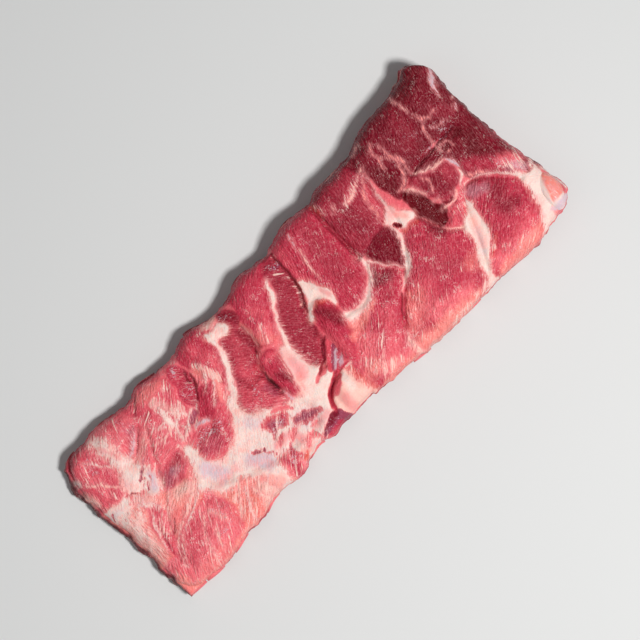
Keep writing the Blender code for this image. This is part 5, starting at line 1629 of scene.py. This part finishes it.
def gristle_surface():
    """An ellipsoid with its two poles closed by faces, turned in plan and made slightly lumpy. Its tone
    is the fat's, with an orange fleck above and wet membrane below."""
    full = 2 * math.pi
    around, down = np.meshgrid(
        np.linspace(0, full, GRISTLE_ROUND, endpoint=False),
        np.linspace(GRISTLE_POLE, math.pi - GRISTLE_POLE, GRISTLE_ROWS), indexing="ij",
    )
    lump = 1 + 0.03 * cloud(around * 6, down * 9, 4, 141)
    lump = lump + (lump[::-1] - lump) * smooth_step(1 - np.minimum(around, full - around)) * 0.5
    x = np.sin(down) * np.cos(around) * GRISTLE_HALF[0] * lump
    y = np.sin(down) * np.sin(around) * GRISTLE_HALF[1] * lump
    z = np.cos(down) * GRISTLE_HALF[2] * lump
    turn = math.radians(GRISTLE_TURN)
    place_x = (x * math.cos(turn) - y * math.sin(turn) + GRISTLE_AT[0]).ravel()
    place_y = (x * math.sin(turn) + y * math.cos(turn) + GRISTLE_AT[1]).ravel()
    points = from_plan(place_x, place_y, z.ravel() + GRISTLE_AT[2])
    index = np.arange(around.size).reshape(around.shape)
    faces = quads(np.vstack([index, index[:1]]))
    faces += [index[:, 0].tolist(), index[:, -1].tolist()]
    fleck = smooth_step(outline_depth(place_x, place_y, GRISTLE_FLECK) / 1.6 + 0.5) * 0.9
    wet = smooth_step(strip_depth(place_x, place_y, GRISTLE_WET) / 3 + 0.5)
    tone = towards(tone_of("cream"), (tone_of("salmon") + tone_of("orange")) / 2, fleck)
    return points, faces, towards(tone, tone_of("lilac"), wet)


class RIBS_OT_stage(bpy.types.Operator):
    """Lays the floor and sets the lights and the camera"""

    bl_idname = "ribs.stage"
    bl_label = "Stage"

    def execute(self, context):
        look = Look("floor", {"Roughness": 0.8, "Base Color": FLOOR_TONE})
        bpy.ops.mesh.primitive_plane_add(size=FLOOR_SIZE)
        floor = context.object
        floor.name = "floor"
        floor.data.materials.append(look.material)
        centre = np.array([*CAMERA_OVER, CAMERA_PLANE]) - np.array([*PLAN_CENTRE, 0])
        data = bpy.data.cameras.new("camera")
        data.sensor_width = SENSOR
        data.lens = SENSOR * CAMERA_RANGE / CAMERA_FIELD
        camera = bpy.data.objects.new("camera", data)
        camera.location = (centre + np.array([0, 0, CAMERA_RANGE])) * MM
        camera.rotation_euler = (0, 0, math.radians(CAMERA_TURN))
        context.scene.collection.objects.link(camera)
        context.scene.camera = camera
        area_light("key", *KEY_LIGHT)
        area_light("fill", *FILL_LIGHT)
        world = bpy.data.worlds.new("studio")
        world.use_nodes = True
        background = world.node_tree.nodes["Background"]
        background.inputs["Color"].default_value = STUDIO_TONE
        background.inputs["Strength"].default_value = STUDIO_STRENGTH
        context.scene.world = world
        context.scene.view_settings.view_transform = "Standard"
        return {"FINISHED"}


def area_light(name, place, size, watts):
    """A square soft light that faces the middle of the rack."""
    data = bpy.data.lights.new(name, "AREA")
    data.size = size
    data.energy = watts
    light = bpy.data.objects.new(name, data)
    light.location = place
    x, y, z = place
    light.rotation_euler = (math.atan2(math.hypot(x, y), z), 0, math.atan2(y, x) + math.pi / 2)
    bpy.context.scene.collection.objects.link(light)


class RIBS_PT_panel(bpy.types.Panel):
    """The rack's settings and its operators"""

    bl_idname = "RIBS_PT_panel"
    bl_label = "Raw rack of ribs"
    bl_space_type = "VIEW_3D"
    bl_region_type = "UI"
    bl_category = "Ribs"

    def draw(self, context):
        """Lists each group's settings, then the operators."""
        for group in (rack().sizes, rack().tones):
            for name in group.__annotations__:
                self.layout.prop(group, name)
        for operator in OPERATORS:
            self.layout.operator(operator.bl_idname)


OPERATORS = (RIBS_OT_meat, RIBS_OT_bones, RIBS_OT_gristle, RIBS_OT_stage)
CLASSES = (RackSizes, RackTones, Rack, *OPERATORS, RIBS_PT_panel)


def register():
    """Adds the classes, and the rack's settings to the scene."""
    for cls in CLASSES:
        bpy.utils.register_class(cls)
    bpy.types.Scene.raw_rack = bpy.props.PointerProperty(type=Rack)


def unregister():
    """Takes the settings and the classes away again."""
    del bpy.types.Scene.raw_rack
    for cls in reversed(CLASSES):
        bpy.utils.unregister_class(cls)


def main():
    """Builds every piece and the stage."""
    register()
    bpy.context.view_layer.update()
    bpy.ops.ribs.meat()
    bpy.ops.ribs.bones()
    bpy.ops.ribs.gristle()
    bpy.ops.ribs.stage()


if __name__ == "__main__":
    main()
